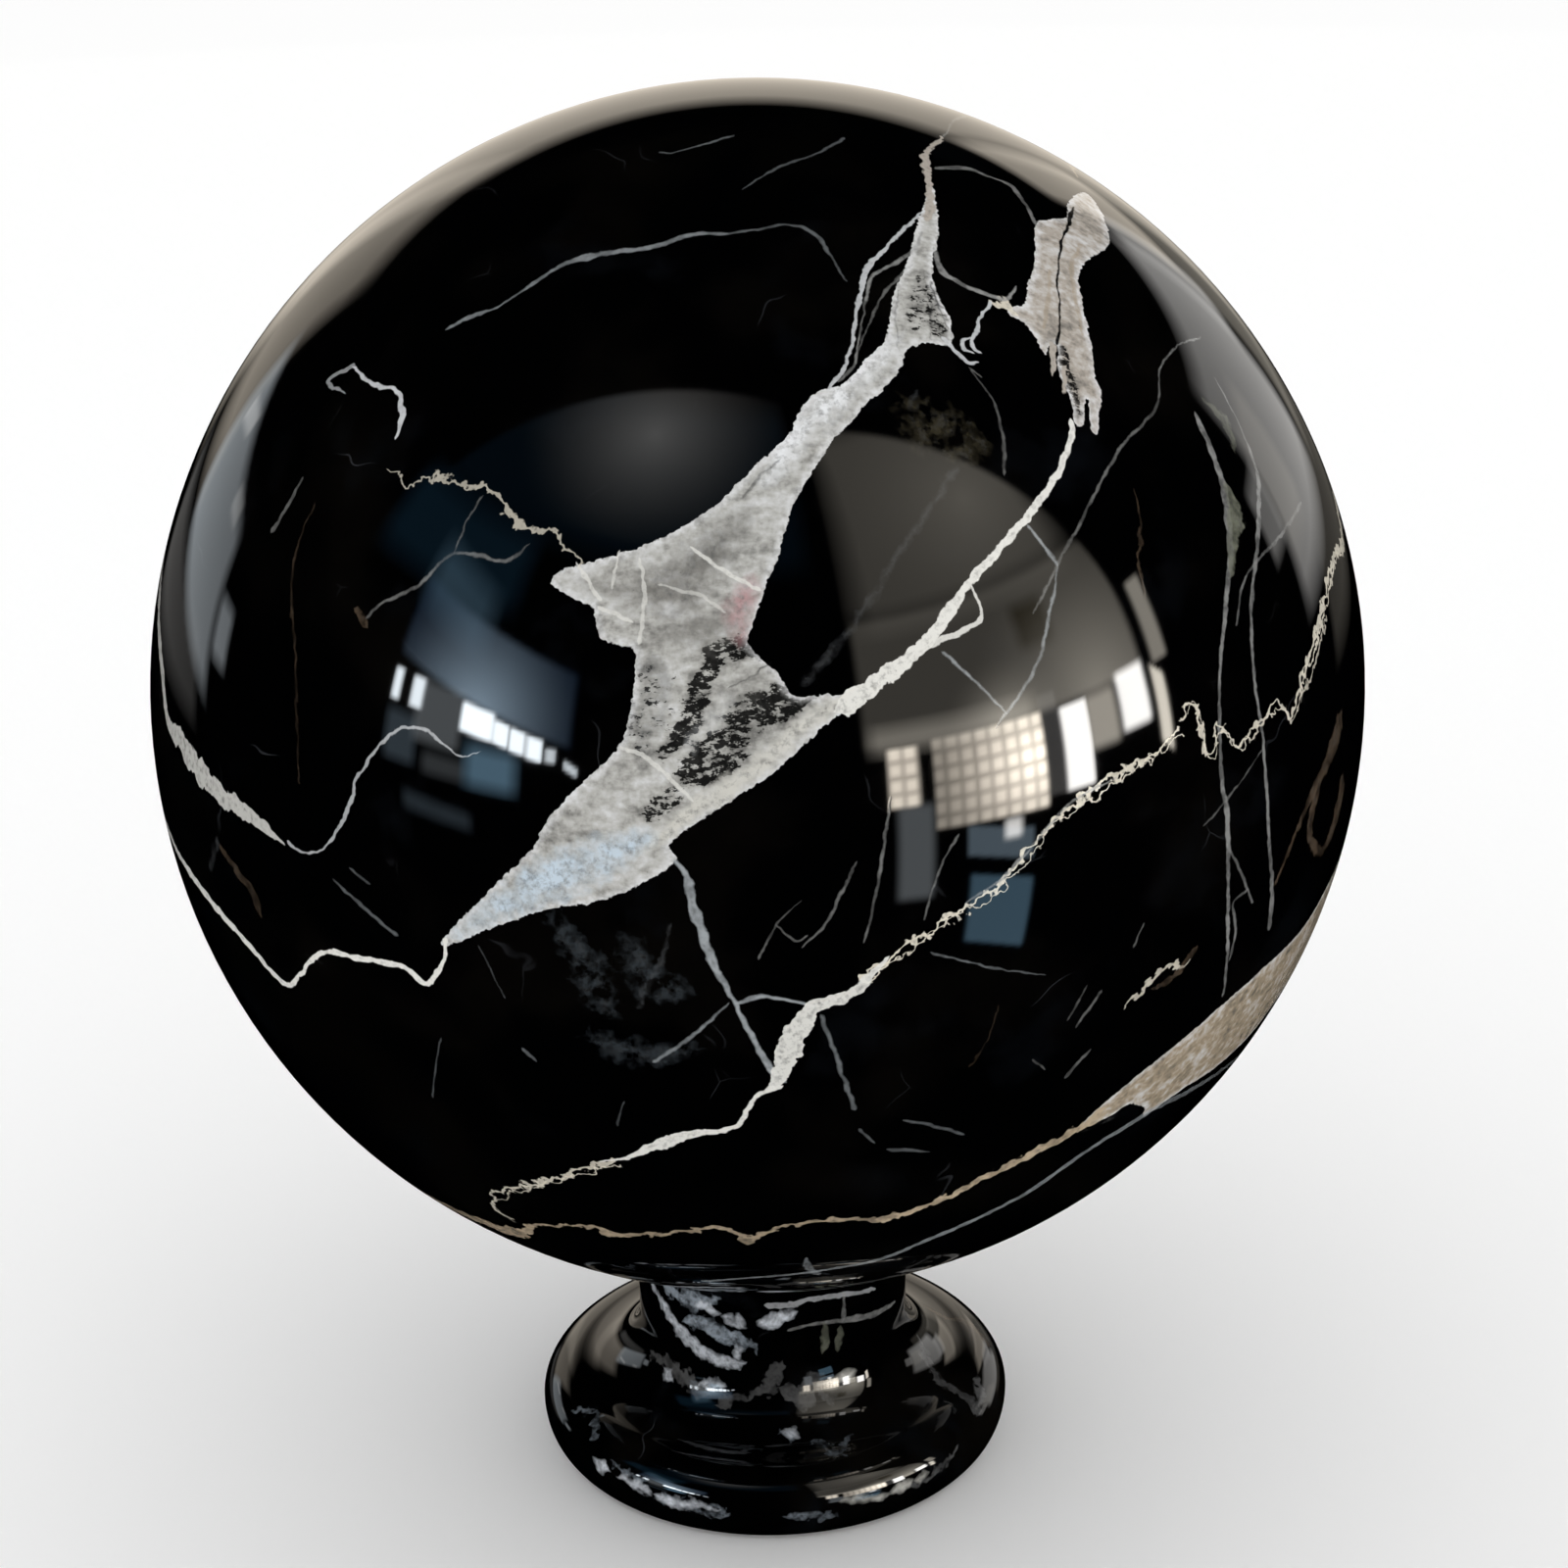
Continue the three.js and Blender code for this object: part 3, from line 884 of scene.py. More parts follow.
vein("grey", 0.7, [(53, 41, 0.2), (59, 42, 0.2), (65.5, 41.5, 0.3)])
print(f"{len(ball_veins)} veins so far")

# %% Hairs across the middle
vein("grey", 0.45, [
    (58, 42, 0.1), (53, 41, 0.2), (48.5, 38, 0.3), (41.5, 36, 0.3), (37.5, 34, 0.3), (33, 31, 0.3),
    (28.5, 27.5, 0.3), (25, 24, 0.2),
])
vein("slate", 0.8, [(26.5, 31, 0.3), (28.5, 27.5, 0.3)])
vein("slate", 0.7, [(28.5, 27.5, 0.2), (27, 24.5, 0.3), (24.5, 20, 0.3), (21, 16.5, 0.3), (20, 15.5, 0.2)])
vein("slate", 0.8, [(16, 22, 0.3), (18, 20, 0.3), (21, 16.5, 0.2)])
vein("smoke", 0.6, [(20.5, 36.5, 0.7), (13, 30, 0.5), (10, 26.5, 0.5), (4, 20.5, 0.7)])
vein("grey", 0.35, [(26, 45, 0.15), (27.2, 42, 0.2), (26.8, 38.5, 0.4), (25.5, 35.5, 0.2)])
vein("grey", 0.5, [(26, 45.2, 0.15), (27, 44.2, 0.25)])
vein("earth", 0.5, [(16, 43, 1), (18.5, 41.5, 2.5), (21.5, 40, 3), (24, 38.5, 2)])
vein("earth", 0.45, [(16.5, 40, 1.5), (19, 39, 2.5), (22.5, 37.5, 2)])
vein("smoke", 0.5, [(18.7, 43.7, 0.3), (18, 43, 0.5), (17.3, 42.2, 0.3)])
vein("haze", 0.35, [(-17, 1, 1.5), (-14.5, -3.5, 3), (-13, -7, 2)])
vein("haze", 0.35, [(-11, -0.5, 1.5), (-9.5, -4, 3), (-6.5, -5, 1.5)])
vein("haze", 0.3, [(-15, -10, 1.5), (-11, -11, 2.5), (-6, -10.5, 1.5)])
vein("brown", 0.45, [(40, 32, 0.2), (39, 29, 0.4), (37.5, 26, 0.4), (37, 23, 0.2)])
vein("slate", 0.5, [(13.5, -2.5, 0.2), (19.5, -5, 0.2), (24, -6.5, 0.1)])
vein("grey", 0.5, [(7.5, 6, 0.2), (6, 3, 0.3), (5, 1, 0.3), (3, -1, 0.2)])
vein("grey", 0.5, [(1, 1, 0.2), (2.5, -0.5, 0.2), (3.5, 0, 0.2)])
vein("grey", 0.4, [(3, 3, 0.1), (1, 1, 0.2), (-0.5, -2, 0.2)])
vein("grey", 0.55, [(10.5, 11, 0.2), (9.5, 5.5, 0.3), (8, -1, 0.2)])
vein("grey", 0.5, [(16, 7.5, 0.2), (14, 4, 0.2), (13, 0.5, 0.2)])
vein("brown", 0.4, [(19.5, -8.5, 0.2), (19, -11.5, 0.2), (17.5, -14.5, 0.2)])
vein("grey", 0.4, [(29.5, -9.5, 0.4), (27.5, -12.5, 0.4)])
vein("grey", 0.35, [(28, -8.5, 0.2), (26.5, -11.5, 0.3)])
vein("grey", 0.4, [(29.5, -15.5, 0.3), (27.5, -18, 0.5)])
vein("grey", 0.4, [(23.5, -15, 0.2), (25, -16.5, 0.2)])
vein("cream", 0.7, [(39.5, -9.5, 0.3), (36.5, -9.5, 0.5), (34.5, -10.5, 0.5), (32.5, -12, 0.3)])
vein("brown", 0.6, [(40, -8.5, 0.8), (38, -10.5, 0.8), (35.5, -11, 0.6)])
vein("grey", 0.4, [(33.5, -4, 0.2), (32.5, -6, 0.2)])
vein("slate", 0.3, [(12, -19.5, 0.3), (14.5, -20.5, 0.4), (18, -22.5, 0.3)])
vein("slate", 0.25, [(11, -23, 0.6), (15, -24, 0.2)])
vein("slate", 0.2, [(-12.5, -16.5, 0.2), (-13.5, -19.5, 0.2)])
vein("slate", 0.2, [(-1, 67, 0.2), (7.5, 70, 0.4), (17, 71.5, 0.4), (32.5, 74, 0.4)])
vein("slate", 0.3, [(-25, 72.5, 0.4), (-21.5, 72.5, 0.3), (-17, 73.5, 0.3), (-4.5, 76, 0.5)])
print(f"{len(ball_veins)} veins so far")

# %% [markdown]
# ## Round the back
#
# The side that faces away is guessed: the stone's big veins don't stop at the edge of the view, so each
# goes on round the ball, thins out and ends, with a few hairs between them. It stays plainer than the
# front, because no one can say what is there.

# %% Veins on the far side
vein("white", 0.8, [(110, 68, 0.8), (117, 67.5, 1.2), (125, 66.5, 1.4), (130, 65.5, 0.6)])
vein("ivory", 0.8, [(152, 57, 0.3), (160, 49, 0.5), (163, 41, 0.4), (168, 34, 0.3)])
vein("ivory", 0.6, [(174, 44, 0.3), (177, 38, 0.4), (184, 33, 0.3)])
vein("white", 0.75, [
    (204, 8, 0.6), (207, 1, 0.9), (211, -5, 0.7), (211.5, -12, 0.9), (217, -18, 0.7), (219, -26, 0.4),
    (225, -31, 0.2),
])
vein("white", 0.8, [
    (165, 34, 1.2), (161, 29, 0.8), (154, 24, 0.9), (152, 16, 0.6), (156, 7, 0.7), (153, -2, 0.7),
    (146, -9, 0.5), (147, -17, 0.2),
])
vein("slate", 0.6, [(153, 19, 0.5), (160, 14, 0.4), (171, 13, 0.5), (180, 7, 0.3), (184, 1, 0.2)])
vein("grey", 0.5, [(187, 31, 0.4), (181, 18, 0.3), (180, 7, 0.3), (174, -8, 0.4), (172, -15, 0.2)])
vein("tan", 0.8, [
    (86, 58.7, 0.2), (94, 58.7, 0.5), (104, 57, 1.5), (115, 52, 1.8), (126, 46, 1), (134, 40, 0.3),
])
vein("tan", 0.9, [(116, -9.2, 0.6), (124, -11.5, 1.2), (133, -14, 1), (141, -19, 0.7), (150, -28, 0.3)])
vein("ochre", 0.8, [(88, -7, 0.4), (100, -2.5, 0.9), (113, -3, 0.7), (124, -8, 0.6), (130, -13, 0.3)])
vein("brown", 0.7, [(188, -4, 0.4), (197, -10, 0.9), (205, -20, 1.3), (203, -28, 0.8), (208, -35, 0.3)])
vein("earth", 0.5, [(228, 14, 1.5), (232, 8, 2.6), (238, 5, 2)])
vein("haze", 0.35, [(164, -24, 1.5), (170, -29, 3), (178, -33, 2)])
vein("grey", 0.6, [(98, -8, 0.5), (108, 8, 0.6), (112, 22, 0.5), (104, 29, 0.3)])
vein("grey", 0.5, [(196, 22, 0.4), (222, 30, 0.5), (238, 44, 0.4), (250, 60, 0.2)])
vein("slate", 0.6, [(-85, 45, 0.3), (-105, 52, 0.5), (-135, 55, 0.5), (-160, 60, 0.3)])
vein("slate", 0.5, [(-95, -10, 0.3), (-102, -28, 0.5), (-98, -46, 0.4), (-80, -58, 0.2)])
vein("cream", 0.6, [(136, -16, 0.5), (160, -22, 0.6), (182, -20, 0.6), (205, -30, 0.5), (222, -44, 0.3)])
vein("brown", 0.6, [(170, -40, 0.3), (150, -52, 0.7), (115, -58, 0.6), (80, -52, 0.3)])
vein("slate", 0.4, [(42.5, -27.5, 0.9), (62, -30, 0.8), (85, -38, 0.7), (110, -42, 0.3)])
vein("grey", 0.4, [(-120, 34, 0.2), (-126, 18, 0.3), (-124, 2, 0.2)])
vein("grey", 0.4, [(84, 6, 0.2), (90, -4, 0.3), (88, -20, 0.2)])
line_length = sum(v.length() for v in ball_veins)
print(f"{len(ball_veins)} veins, {line_length / MM:.0f} mm of line in all")

# %% [markdown]
# ## Sorting the veins into layers
#
# A point of the mesh can only remember one nearest vein at a time. Where two run close together or
# cross, the one would cut a notch out of the other. So the veins are dealt into a few layers: each goes
# to the first layer where it keeps clear of all others. The shader later lays one layer over the next.

# %% Layers


def in_layers(veins):
    """Deals the veins into layers in which none comes near another."""
    layers = []
    for line in veins:
        for layer in layers:
            if all(line.clear_of(other) for other in layer):
                layer.append(line)
                break
        else:
            layers.append([line])
    return layers


def store_layer(mesh, name, layer):
    """Stores on each vertex the offset from its nearest vein, the half-width left there and its code."""
    samples = [(sample, line.code) for line in layer for sample in line.samples]
    tree = KDTree(len(samples))
    for number, (sample, code) in enumerate(samples):
        tree.insert(sample[0], number)
    tree.balance()
    values = []
    for vertex in mesh.vertices:
        spot, number, distance = tree.find(vertex.co)
        sample, code = samples[number]
        if distance > FAR_AWAY * MM:
            values.extend((FAR_AWAY, -FAR_AWAY, code))
        else:
            values.extend((*beside(vertex.co, sample), code))
    mesh.attributes.new(name, "FLOAT_VECTOR", "POINT").data.foreach_set("vector", values)


ball_layers = in_layers(ball_veins)
stain_layers = in_layers(ball_stains)
print("veins in each layer:", [len(layer) for layer in ball_layers])
print("stains in each layer:", [len(layer) for layer in stain_layers])

# %% [markdown]
# ## The ball's mesh
#
# A ball of latitude rings would crowd its faces at the poles. An icosphere spreads them evenly, and its
# faces are then cut finer only along the veins, where the stored numbers change fast. Each of three
# rounds keeps nearer to the lines than the last, and holds the ball under two hundred thousand faces.
# After each cut the new points are set back on the true radius. Cut meshes have uneven faces, and the
# shading would show it, so each vertex is given the normal of a perfect sphere: a mirror finish forgives
# nothing.

# %% Ball mesh, finest along the veins
REFINED_WITHIN = (3.5, 1.2, 0.1)
ball_marks = []
for line in ball_veins + [line for share, line in ball_speckles]:
    ball_marks.extend((sample[0], sample[3]) for sample in line.samples)
for shape_of_body in ball_bodies:
    ball_marks.extend((on_ball(*spot)[0], 0.4) for spot in shape_of_body.edge)
mark_tree = KDTree(len(ball_marks))
for number, (spot, half_width) in enumerate(ball_marks):
    mark_tree.insert(spot, number)
mark_tree.balance()


def near_a_mark(spot, reach):
    """True within a reach, in mm, of the edge of a vein or body."""
    number, distance = mark_tree.find(spot)[1:]
    return distance / MM - ball_marks[number][1] < reach


ball_shape = bmesh.new()
bmesh.ops.create_icosphere(ball_shape, subdivisions=6, radius=ball_radius)
bmesh.ops.translate(ball_shape, verts=ball_shape.verts, vec=ball_centre)
for reach in REFINED_WITHIN:
    chosen = {v for v in ball_shape.verts if near_a_mark(v.co, reach)}
    edges = [e for e in ball_shape.edges if e.verts[0] in chosen or e.verts[1] in chosen]
    bmesh.ops.subdivide_edges(ball_shape, edges=edges, cuts=1, use_grid_fill=True)
    bmesh.ops.triangulate(ball_shape, faces=[f for f in ball_shape.faces if len(f.verts) > 3])
    for vertex in ball_shape.verts:
        vertex.co = ball_centre + ball_radius * (vertex.co - ball_centre).normalized()
    print(f"cut within {reach} mm of a vein: {len(ball_shape.faces)} faces")
for face in ball_shape.faces:
    face.smooth = True

# %% [markdown]
# ## The stone
#
# Black marble like this is a limestone dark with carbon. It is never quite even: brown and blue-grey
# mist drifts through it, and hair cracks cross it. That ground comes from noise, in millimetres, so its
# scale is the real one. Over it goes the broad calcite, fibrous and mottled, then the veins, layer by
# layer. Calcite is softer than the black and takes a little less polish, so it gets a touch more
# roughness and lies a breath lower, which a bump shows. The same recipe serves the ball and the stand.

# %% Noise in millimetres
BLACK = paint(0.8, 0.8, 1.2)
PEAT = paint(13, 11, 8)
MIST = paint(16, 19, 23)
HAIR = paint(64, 66, 70)
CALCITE_SHADE = paint(84, 83, 80)
CALCITE_LIGHT = paint(222, 223, 224)
VEIN_SHADE = paint(84, 84, 83)
PEAT_DRIFT = 34
MIST_DRIFT = 21
HAIR_SPACING = 26
HAIR_SWIRL = 15
HAIR_BEND = 14.0
HAIR_WIDTH = 0.006
HAIR_EDGE = 0.004


def noise(place, size, detail=2.0, coarse=0.5):
    """Noise with blobs of about this size in mm, mostly between -1 and 1."""
    inputs = {"Vector": place, "Scale": 1 / size, "Detail": detail, "Roughness": coarse}
    return (place.node("ShaderNodeTexNoise", {}, inputs, "Fac") - 0.5) * 4


def stored(start, name):
    """The three numbers that the mesh keeps under a name."""
    settings = {"attribute_type": "GEOMETRY", "attribute_name": name}
    return start.node("ShaderNodeAttribute", settings, {}, "Vector")


def ramp_of(code, values):
    """Looks a finish's code up in a row of colours, one for each finish."""
    return code.node("ShaderNodeValToRGB", {"steps": values}, {"Fac": code / len(values)}, "Color")


def strength_of(code):
    """The strength that a code carries after its point, from 0 to 1."""
    return ((code.math("FRACT", code) - CODE_LOW) / CODE_SPAN).within_one()


# %% The black ground


def black_ground(start, place, mistiness):
    """Black with peat-brown and blue-grey mist, and a few hair cracks."""
    brown = (noise(place, PEAT_DRIFT, 4, 0.6) * mistiness).within_one()
    blue = (noise(place, MIST_DRIFT, 5, 0.6) * mistiness - 0.3 * mistiness).within_one()
    ground = brown.node("ShaderNodeMix", {"data_type": "RGBA"}, {0: brown, 6: BLACK, 7: PEAT}, 2)
    ground = ground.mixed(MIST, blue)
    swirl = start.node("ShaderNodeTexNoise", {}, {"Vector": place, "Scale": 1 / HAIR_SWIRL}, "Color")
    pushed = {0: swirl, 1: (HAIR_BEND, HAIR_BEND, HAIR_BEND), 2: place}
    bent = start.node("ShaderNodeVectorMath", {"operation": "MULTIPLY_ADD"}, pushed)
    cells = {"Vector": bent, "Scale": 1 / HAIR_SPACING}
    edge = start.node("ShaderNodeTexVoronoi", {"feature": "DISTANCE_TO_EDGE"}, cells, "Distance")
    hair = ((HAIR_WIDTH - edge) / HAIR_EDGE).within_one() * (noise(place, 17) * 2 - 0.9).within_one()
    return ground.mixed(HAIR, hair * 0.5)


# %% Calcite bodies
GRAIN_LEAN = math.radians(-48)
GRAIN_STRETCH = 0.4
GRAIN_SIZE = 1.9
SPECK_SIZE = 1.1
CLOUD_SIZE = 7
CRUMB_SIZE = 0.8
BODY_EDGE = 0.15


def lay_bodies(start, ground, place, name):
    """Lays the broad calcite over the ground. Gives the colour and where it lies, from 0 to 1."""
    marks = stored(start, name)
    depth, code, crumbs = marks.part(0), marks.part(1), marks.part(2)
    edge = depth + noise(place, 2.2) * 0.18 + noise(place, 0.7, 3) * 0.22
    cover = (edge / BODY_EDGE + 0.5).within_one()
    colour = ramp_of(code, [finish[0] for finish in FINISHES.values()])
    turned = {"Vector": place, "Rotation": (0.0, GRAIN_LEAN, 0.0), "Scale": (GRAIN_STRETCH, 1.0, 1.0)}
    grain = start.node("ShaderNodeMapping", {"vector_type": "POINT"}, turned)
    fibre = noise(grain, GRAIN_SIZE, 3, 0.6)
    speck = noise(place, SPECK_SIZE, 2, 0.6)
    cloud = noise(place, CLOUD_SIZE, 3, 0.6)
    tone = fibre * 0.9 + speck * 0.55 + cloud * 0.6 + crumbs * 0.6
    colour = colour.mixed(CALCITE_SHADE, (tone * 0.9).within_one() * 0.75)
    colour = colour.mixed(CALCITE_LIGHT, (0 - tone * 0.9).within_one() * 0.7)
    rim = ((1.2 - edge) / 0.9).within_one()
    colour = colour.mixed(CALCITE_LIGHT, rim * (0.5 - speck * 0.4).within_one())
    crumb = noise(grain, CRUMB_SIZE, 3, 0.75) * 1.3 + speck * 0.6 + crumbs * 1.7 - 1.3
    crumb = (crumb / 0.35).within_one() * (1 - rim * 0.6)
    return ground.mixed(colour.mixed(BLACK, crumb * 0.95), cover), cover


# %% Veins in layers
BEND_SIZE = 2.3
FRAY_SIZE = 0.9
SWELL_SIZE = 1.9
WEAR_SIZE = 3.4
LONGEST_STRAY = 4


def vein_texture(start, place):
    """The noises that all layers of veins share: two ways to stray, the swelling, the wear, the grain."""
    moved = {0: place, 1: (41.0, 0.0, 0.0)}
    elsewhere = start.node("ShaderNodeVectorMath", {"operation": "ADD"}, moved)
    strays = []
    for spot in (place, elsewhere):
        strays.append(noise(spot, BEND_SIZE) * 0.85 + noise(spot, FRAY_SIZE, 3) * 0.25)
    swelling = 0.9 + noise(place, SWELL_SIZE, 3) * 0.35
    worn = (noise(place, WEAR_SIZE, 5, 0.65) * 1.6 + 0.45).within_one()
    return *strays, swelling, worn, noise(elsewhere, 1.0, 3, 0.65)


def lay_veins(start, ground, texture, name, number, inside=None):
    """Lays one layer of veins over the ground. Gives the colour and where they lie, from 0 to 1."""
    marks = stored(start, name)
    offset, half_width, code = marks.part(0), marks.part(1), marks.part(2)
    colour = ramp_of(code, [finish[0] for finish in FINISHES.values()])
    scaled = [(f[1] / LONGEST_STRAY, f[2] / LONGEST_STRAY, f[3], 1.0) for f in FINISHES.values()]
    habits = ramp_of(code, scaled)
    stray, soft, broken = habits.part(0) * LONGEST_STRAY, habits.part(1) * LONGEST_STRAY, habits.part(2)
    first, second, swelling, worn, grain = texture
    turn = math.radians(100 * number)
    wander = first * math.cos(turn) + second * math.sin(turn)
    edge = half_width * swelling - abs(offset + wander * stray)
    cover = (edge / soft + 0.2).within_one() * (1 - worn * broken) * strength_of(code)
    if inside:
        cover = cover * inside
    core = ((edge - 0.3) / 0.7).within_one()
    colour = colour.mixed(VEIN_SHADE, (grain * 0.4 + core * (0.15 + grain * 0.5)).within_one() * 0.8)
    return ground.mixed(colour, cover), cover


# %% The whole recipe
POLISH = 0.03
CALCITE_DULLING = 0.09
CALCITE_WEAR = 0.02 * MM
STONE_IOR = 1.55


def marble(name, layer_names, body_name, stain_names, mistiness):
    """Black marble: the ground, the broad calcite with its stains, and the veins layer by layer."""
    material = bpy.data.materials.new(name)
    material.use_nodes = True
    material.node_tree.nodes.clear()
    start = Wire(material.node_tree)
    metres = start.node("ShaderNodeTexCoord", {}, {}, "Object")
    place = start.node("ShaderNodeVectorMath", {"operation": "SCALE"}, {0: metres, "Scale": 1 / MM})
    colour = black_ground(start, place, mistiness)
    texture = vein_texture(start, place)
    calcite = None
    if body_name:
        colour, calcite = lay_bodies(start, colour, place, body_name)
    for number, stain_name in enumerate(stain_names):
        colour = lay_veins(start, colour, texture, stain_name, number, calcite)[0]
    for number, layer_name in enumerate(layer_names):
        colour, cover = lay_veins(start, colour, texture, layer_name, number)
        calcite = calcite.at_least(cover) if calcite else cover
    roughness = POLISH + calcite * CALCITE_DULLING + noise(place, 9, 3).within_one() * 0.01
    relief = {"Strength": 0.12, "Distance": CALCITE_WEAR, "Height": 1 - calcite}
    bump = start.node("ShaderNodeBump", {}, relief, "Normal")
    finish = {"Base Color": colour, "Roughness": roughness, "IOR": STONE_IOR, "Normal": bump}
    shader = start.node("ShaderNodeBsdfPrincipled", {}, finish)
    start.node("ShaderNodeOutputMaterial", {}, {"Surface": shader})
    return material


# %% Ball in its stone
BALL_MISTINESS = 0.6
ball_layer_names = [f"veins_{number}" for number in range(len(ball_layers))]
stain_names = [f"stains_{number}" for number in range(len(stain_layers))]
ball_marble = marble("ball marble", ball_layer_names, "calcite", stain_names, BALL_MISTINESS)
ball = keep(ball_shape, "marble_ball", ball_marble)
for layer_name, layer in zip(ball_layer_names + stain_names, ball_layers + stain_layers):
    store_layer(ball.data, layer_name, layer)
print(f"{len(ball_layer_names)} layers of veins and {len(stain_names)} of stains stored")

# %% Calcite stored on the ball
# Crumbs are looked for inside the bodies, and for CRUMB_MARGIN mm outside.
CRUMB_MARGIN = 2


def crumbs_at(spot):
    """How much black crumb the calcite holds at a spot, from 0 to 1."""
    most = 0.0
    for share, line in ball_speckles:
        number, distance = line.tree.find(spot)[1:]
        nearness = 2 - distance / MM / line.samples[number][3]
        most = max(most, share * min(nearness, 1.0))
    return most


calcite_values = []
for vertex in ball.data.vertices:
    out = (vertex.co - ball_centre).normalized()
    round_it = math.degrees(math.atan2(out.x, -out.y))
    up = math.degrees(math.asin(out.z))
    depth, code = max((b.depth(vertex.co, round_it, up), b.code) for b in ball_bodies)
    calcite_values.extend((depth, code, crumbs_at(vertex.co) if depth > -CRUMB_MARGIN else 0.0))
ball.data.attributes.new("calcite", "FLOAT_VECTOR", "POINT").data.foreach_set("vector", calcite_values)
ball.data.normals_split_custom_set_from_vertices(
    [(vertex.co - ball_centre).normalized() for vertex in ball.data.vertices]
)
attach(ball, "root")
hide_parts("sphere")
print(f"ball: {len(ball.data.polygons)} faces, {len(ball_layers)} layers of veins")

# %% [markdown]
# ## The stand
#
# The stand was turned on a lathe, so it is one outline spun round the upright axis: a rolled foot, a
# hollow waist, a straight neck, and a shallow dish that fits the ball. Spinning is the lathe's own way,
# and its arcs come from a few radii. The ball sits in the dish with a hair's gap, as loose things do.

# %% The stand's outline
FOOT_INSET = 4.5 * MM
WIDEST_HEIGHT = 7 * MM
FOOT_TOP = 13 * MM
ROLL_DEPTH = 7 * MM
WAIST_RADIUS = 11 * MM
NECK_RADIUS = 24 * MM
LIP_RADIUS = 1.5 * MM
SEAT_RADIUS = 21 * MM
SEAT_GAP = 0.3 * MM
OUTLINE_STEP = 0.7 * MM
DISH_STEPS = 15


def arc(centre, wide, tall, start, end):
    """Points (radius, height) on an arc of an ellipse, from one angle to another, both included."""
    length = math.radians(abs(end - start)) * max(wide, tall)
    steps = max(3, math.ceil(length / OUTLINE_STEP))
    points = []
    for step in range(steps + 1):
        angle = math.radians(start + (end - start) * step / steps)
        points.append((centre[0] + wide * math.cos(angle), centre[1] + tall * math.sin(angle)))
    return points


stand_top = stand_high.z
roll_centre = foot_radius - ROLL_DEPTH
waist_height = FOOT_TOP + WAIST_RADIUS
outside = arc((foot_radius - FOOT_INSET, WIDEST_HEIGHT), FOOT_INSET, WIDEST_HEIGHT, -90, 0)
outside += arc((roll_centre, WIDEST_HEIGHT), ROLL_DEPTH, FOOT_TOP - WIDEST_HEIGHT, 0, 90)[1:]
outside += arc((roll_centre, waist_height), WAIST_RADIUS, WAIST_RADIUS, -90, -180)[1:]
neck_top = stand_top - LIP_RADIUS
neck_steps = math.ceil((neck_top - waist_height) / OUTLINE_STEP)
for step in range(1, neck_steps + 1):
    outside.append((NECK_RADIUS, waist_height + (neck_top - waist_height) * step / neck_steps))
outside += arc((NECK_RADIUS - LIP_RADIUS, neck_top), LIP_RADIUS, LIP_RADIUS, 0, 90)[1:]
dish_radius = ball_radius + SEAT_GAP
dish = []
for step in range(DISH_STEPS, -1, -1):
    out = SEAT_RADIUS * step / DISH_STEPS
    dish.append((out, ball_centre.z - math.sqrt(dish_radius ** 2 - out ** 2)))
outline = [(0.0, 0.0)] + outside + dish
print(f"outline of {len(outline)} points, {stand_top / MM:.1f} mm tall, neck {2 * NECK_RADIUS / MM:.0f} mm")

# %% Turning it
STAND_STEPS = 240

stand_shape = bmesh.new()
profile = [stand_shape.verts.new((radius, 0.0, height)) for radius, height in outline]
rim_edges = [stand_shape.edges.new(pair) for pair in zip(profile, profile[1:])]
bmesh.ops.spin(
    stand_shape, geom=profile + rim_edges, cent=(0, 0, 0), axis=(0, 0, 1),
    angle=math.radians(360), steps=STAND_STEPS, use_merge=True,
)
bmesh.ops.remove_doubles(stand_shape, verts=stand_shape.verts, dist=0.01 * MM)
bmesh.ops.recalc_face_normals(stand_shape, faces=stand_shape.faces)
for face in stand_shape.faces:
    face.smooth = True
print(f"stand: {len(stand_shape.faces)} faces")

# %% [markdown]
# ## The stand's veins
#
# The stand comes from a cloudier part of the rock. A frosty vein curves round the neck on the left under
# broken blue-grey clouds, two thin lines cross the neck on the right, and pale spots and dull patches lie
# on the waist and foot. The brightest spots, in a row round the waist and another along the foot's rolled
# edge, are painted reflections of the window lights: bluish on the left and cream on the right. They could
# be left to noise, but then none would sit where the real ones do. So they are drawn as on the ball, with
# degrees round the stand and the height in millimetres.

# %% Drawing on the stand
stand_veins = []


def radius_at(height):
    """The stand's outer radius at a height, read off its outline."""
    for (r1, z1), (r2, z2) in zip(outside, outside[1:]):
        if z1 <= height <= z2:
            return r1 + (r2 - r1) * (height - z1) / max(z2 - z1, 1e-9)
    return outside[-1][0]


def on_stand(round_it, height_mm):
    """The stand's outer point at these degrees and this height, and the way out of the stone there."""
    height = height_mm * MM
    level_way = towards(round_it, 0)
    rise = radius_at(height + 0.2 * MM) - radius_at(height - 0.2 * MM)
    out = level_way * 0.4 * MM - Vector((0, 0, rise))
    return level_way * radius_at(height) + Vector((0, 0, height)), out.normalized()


def stand_vein(finish, strength, points):
    stand_veins.append(Vein(finish, strength, points, on_stand))


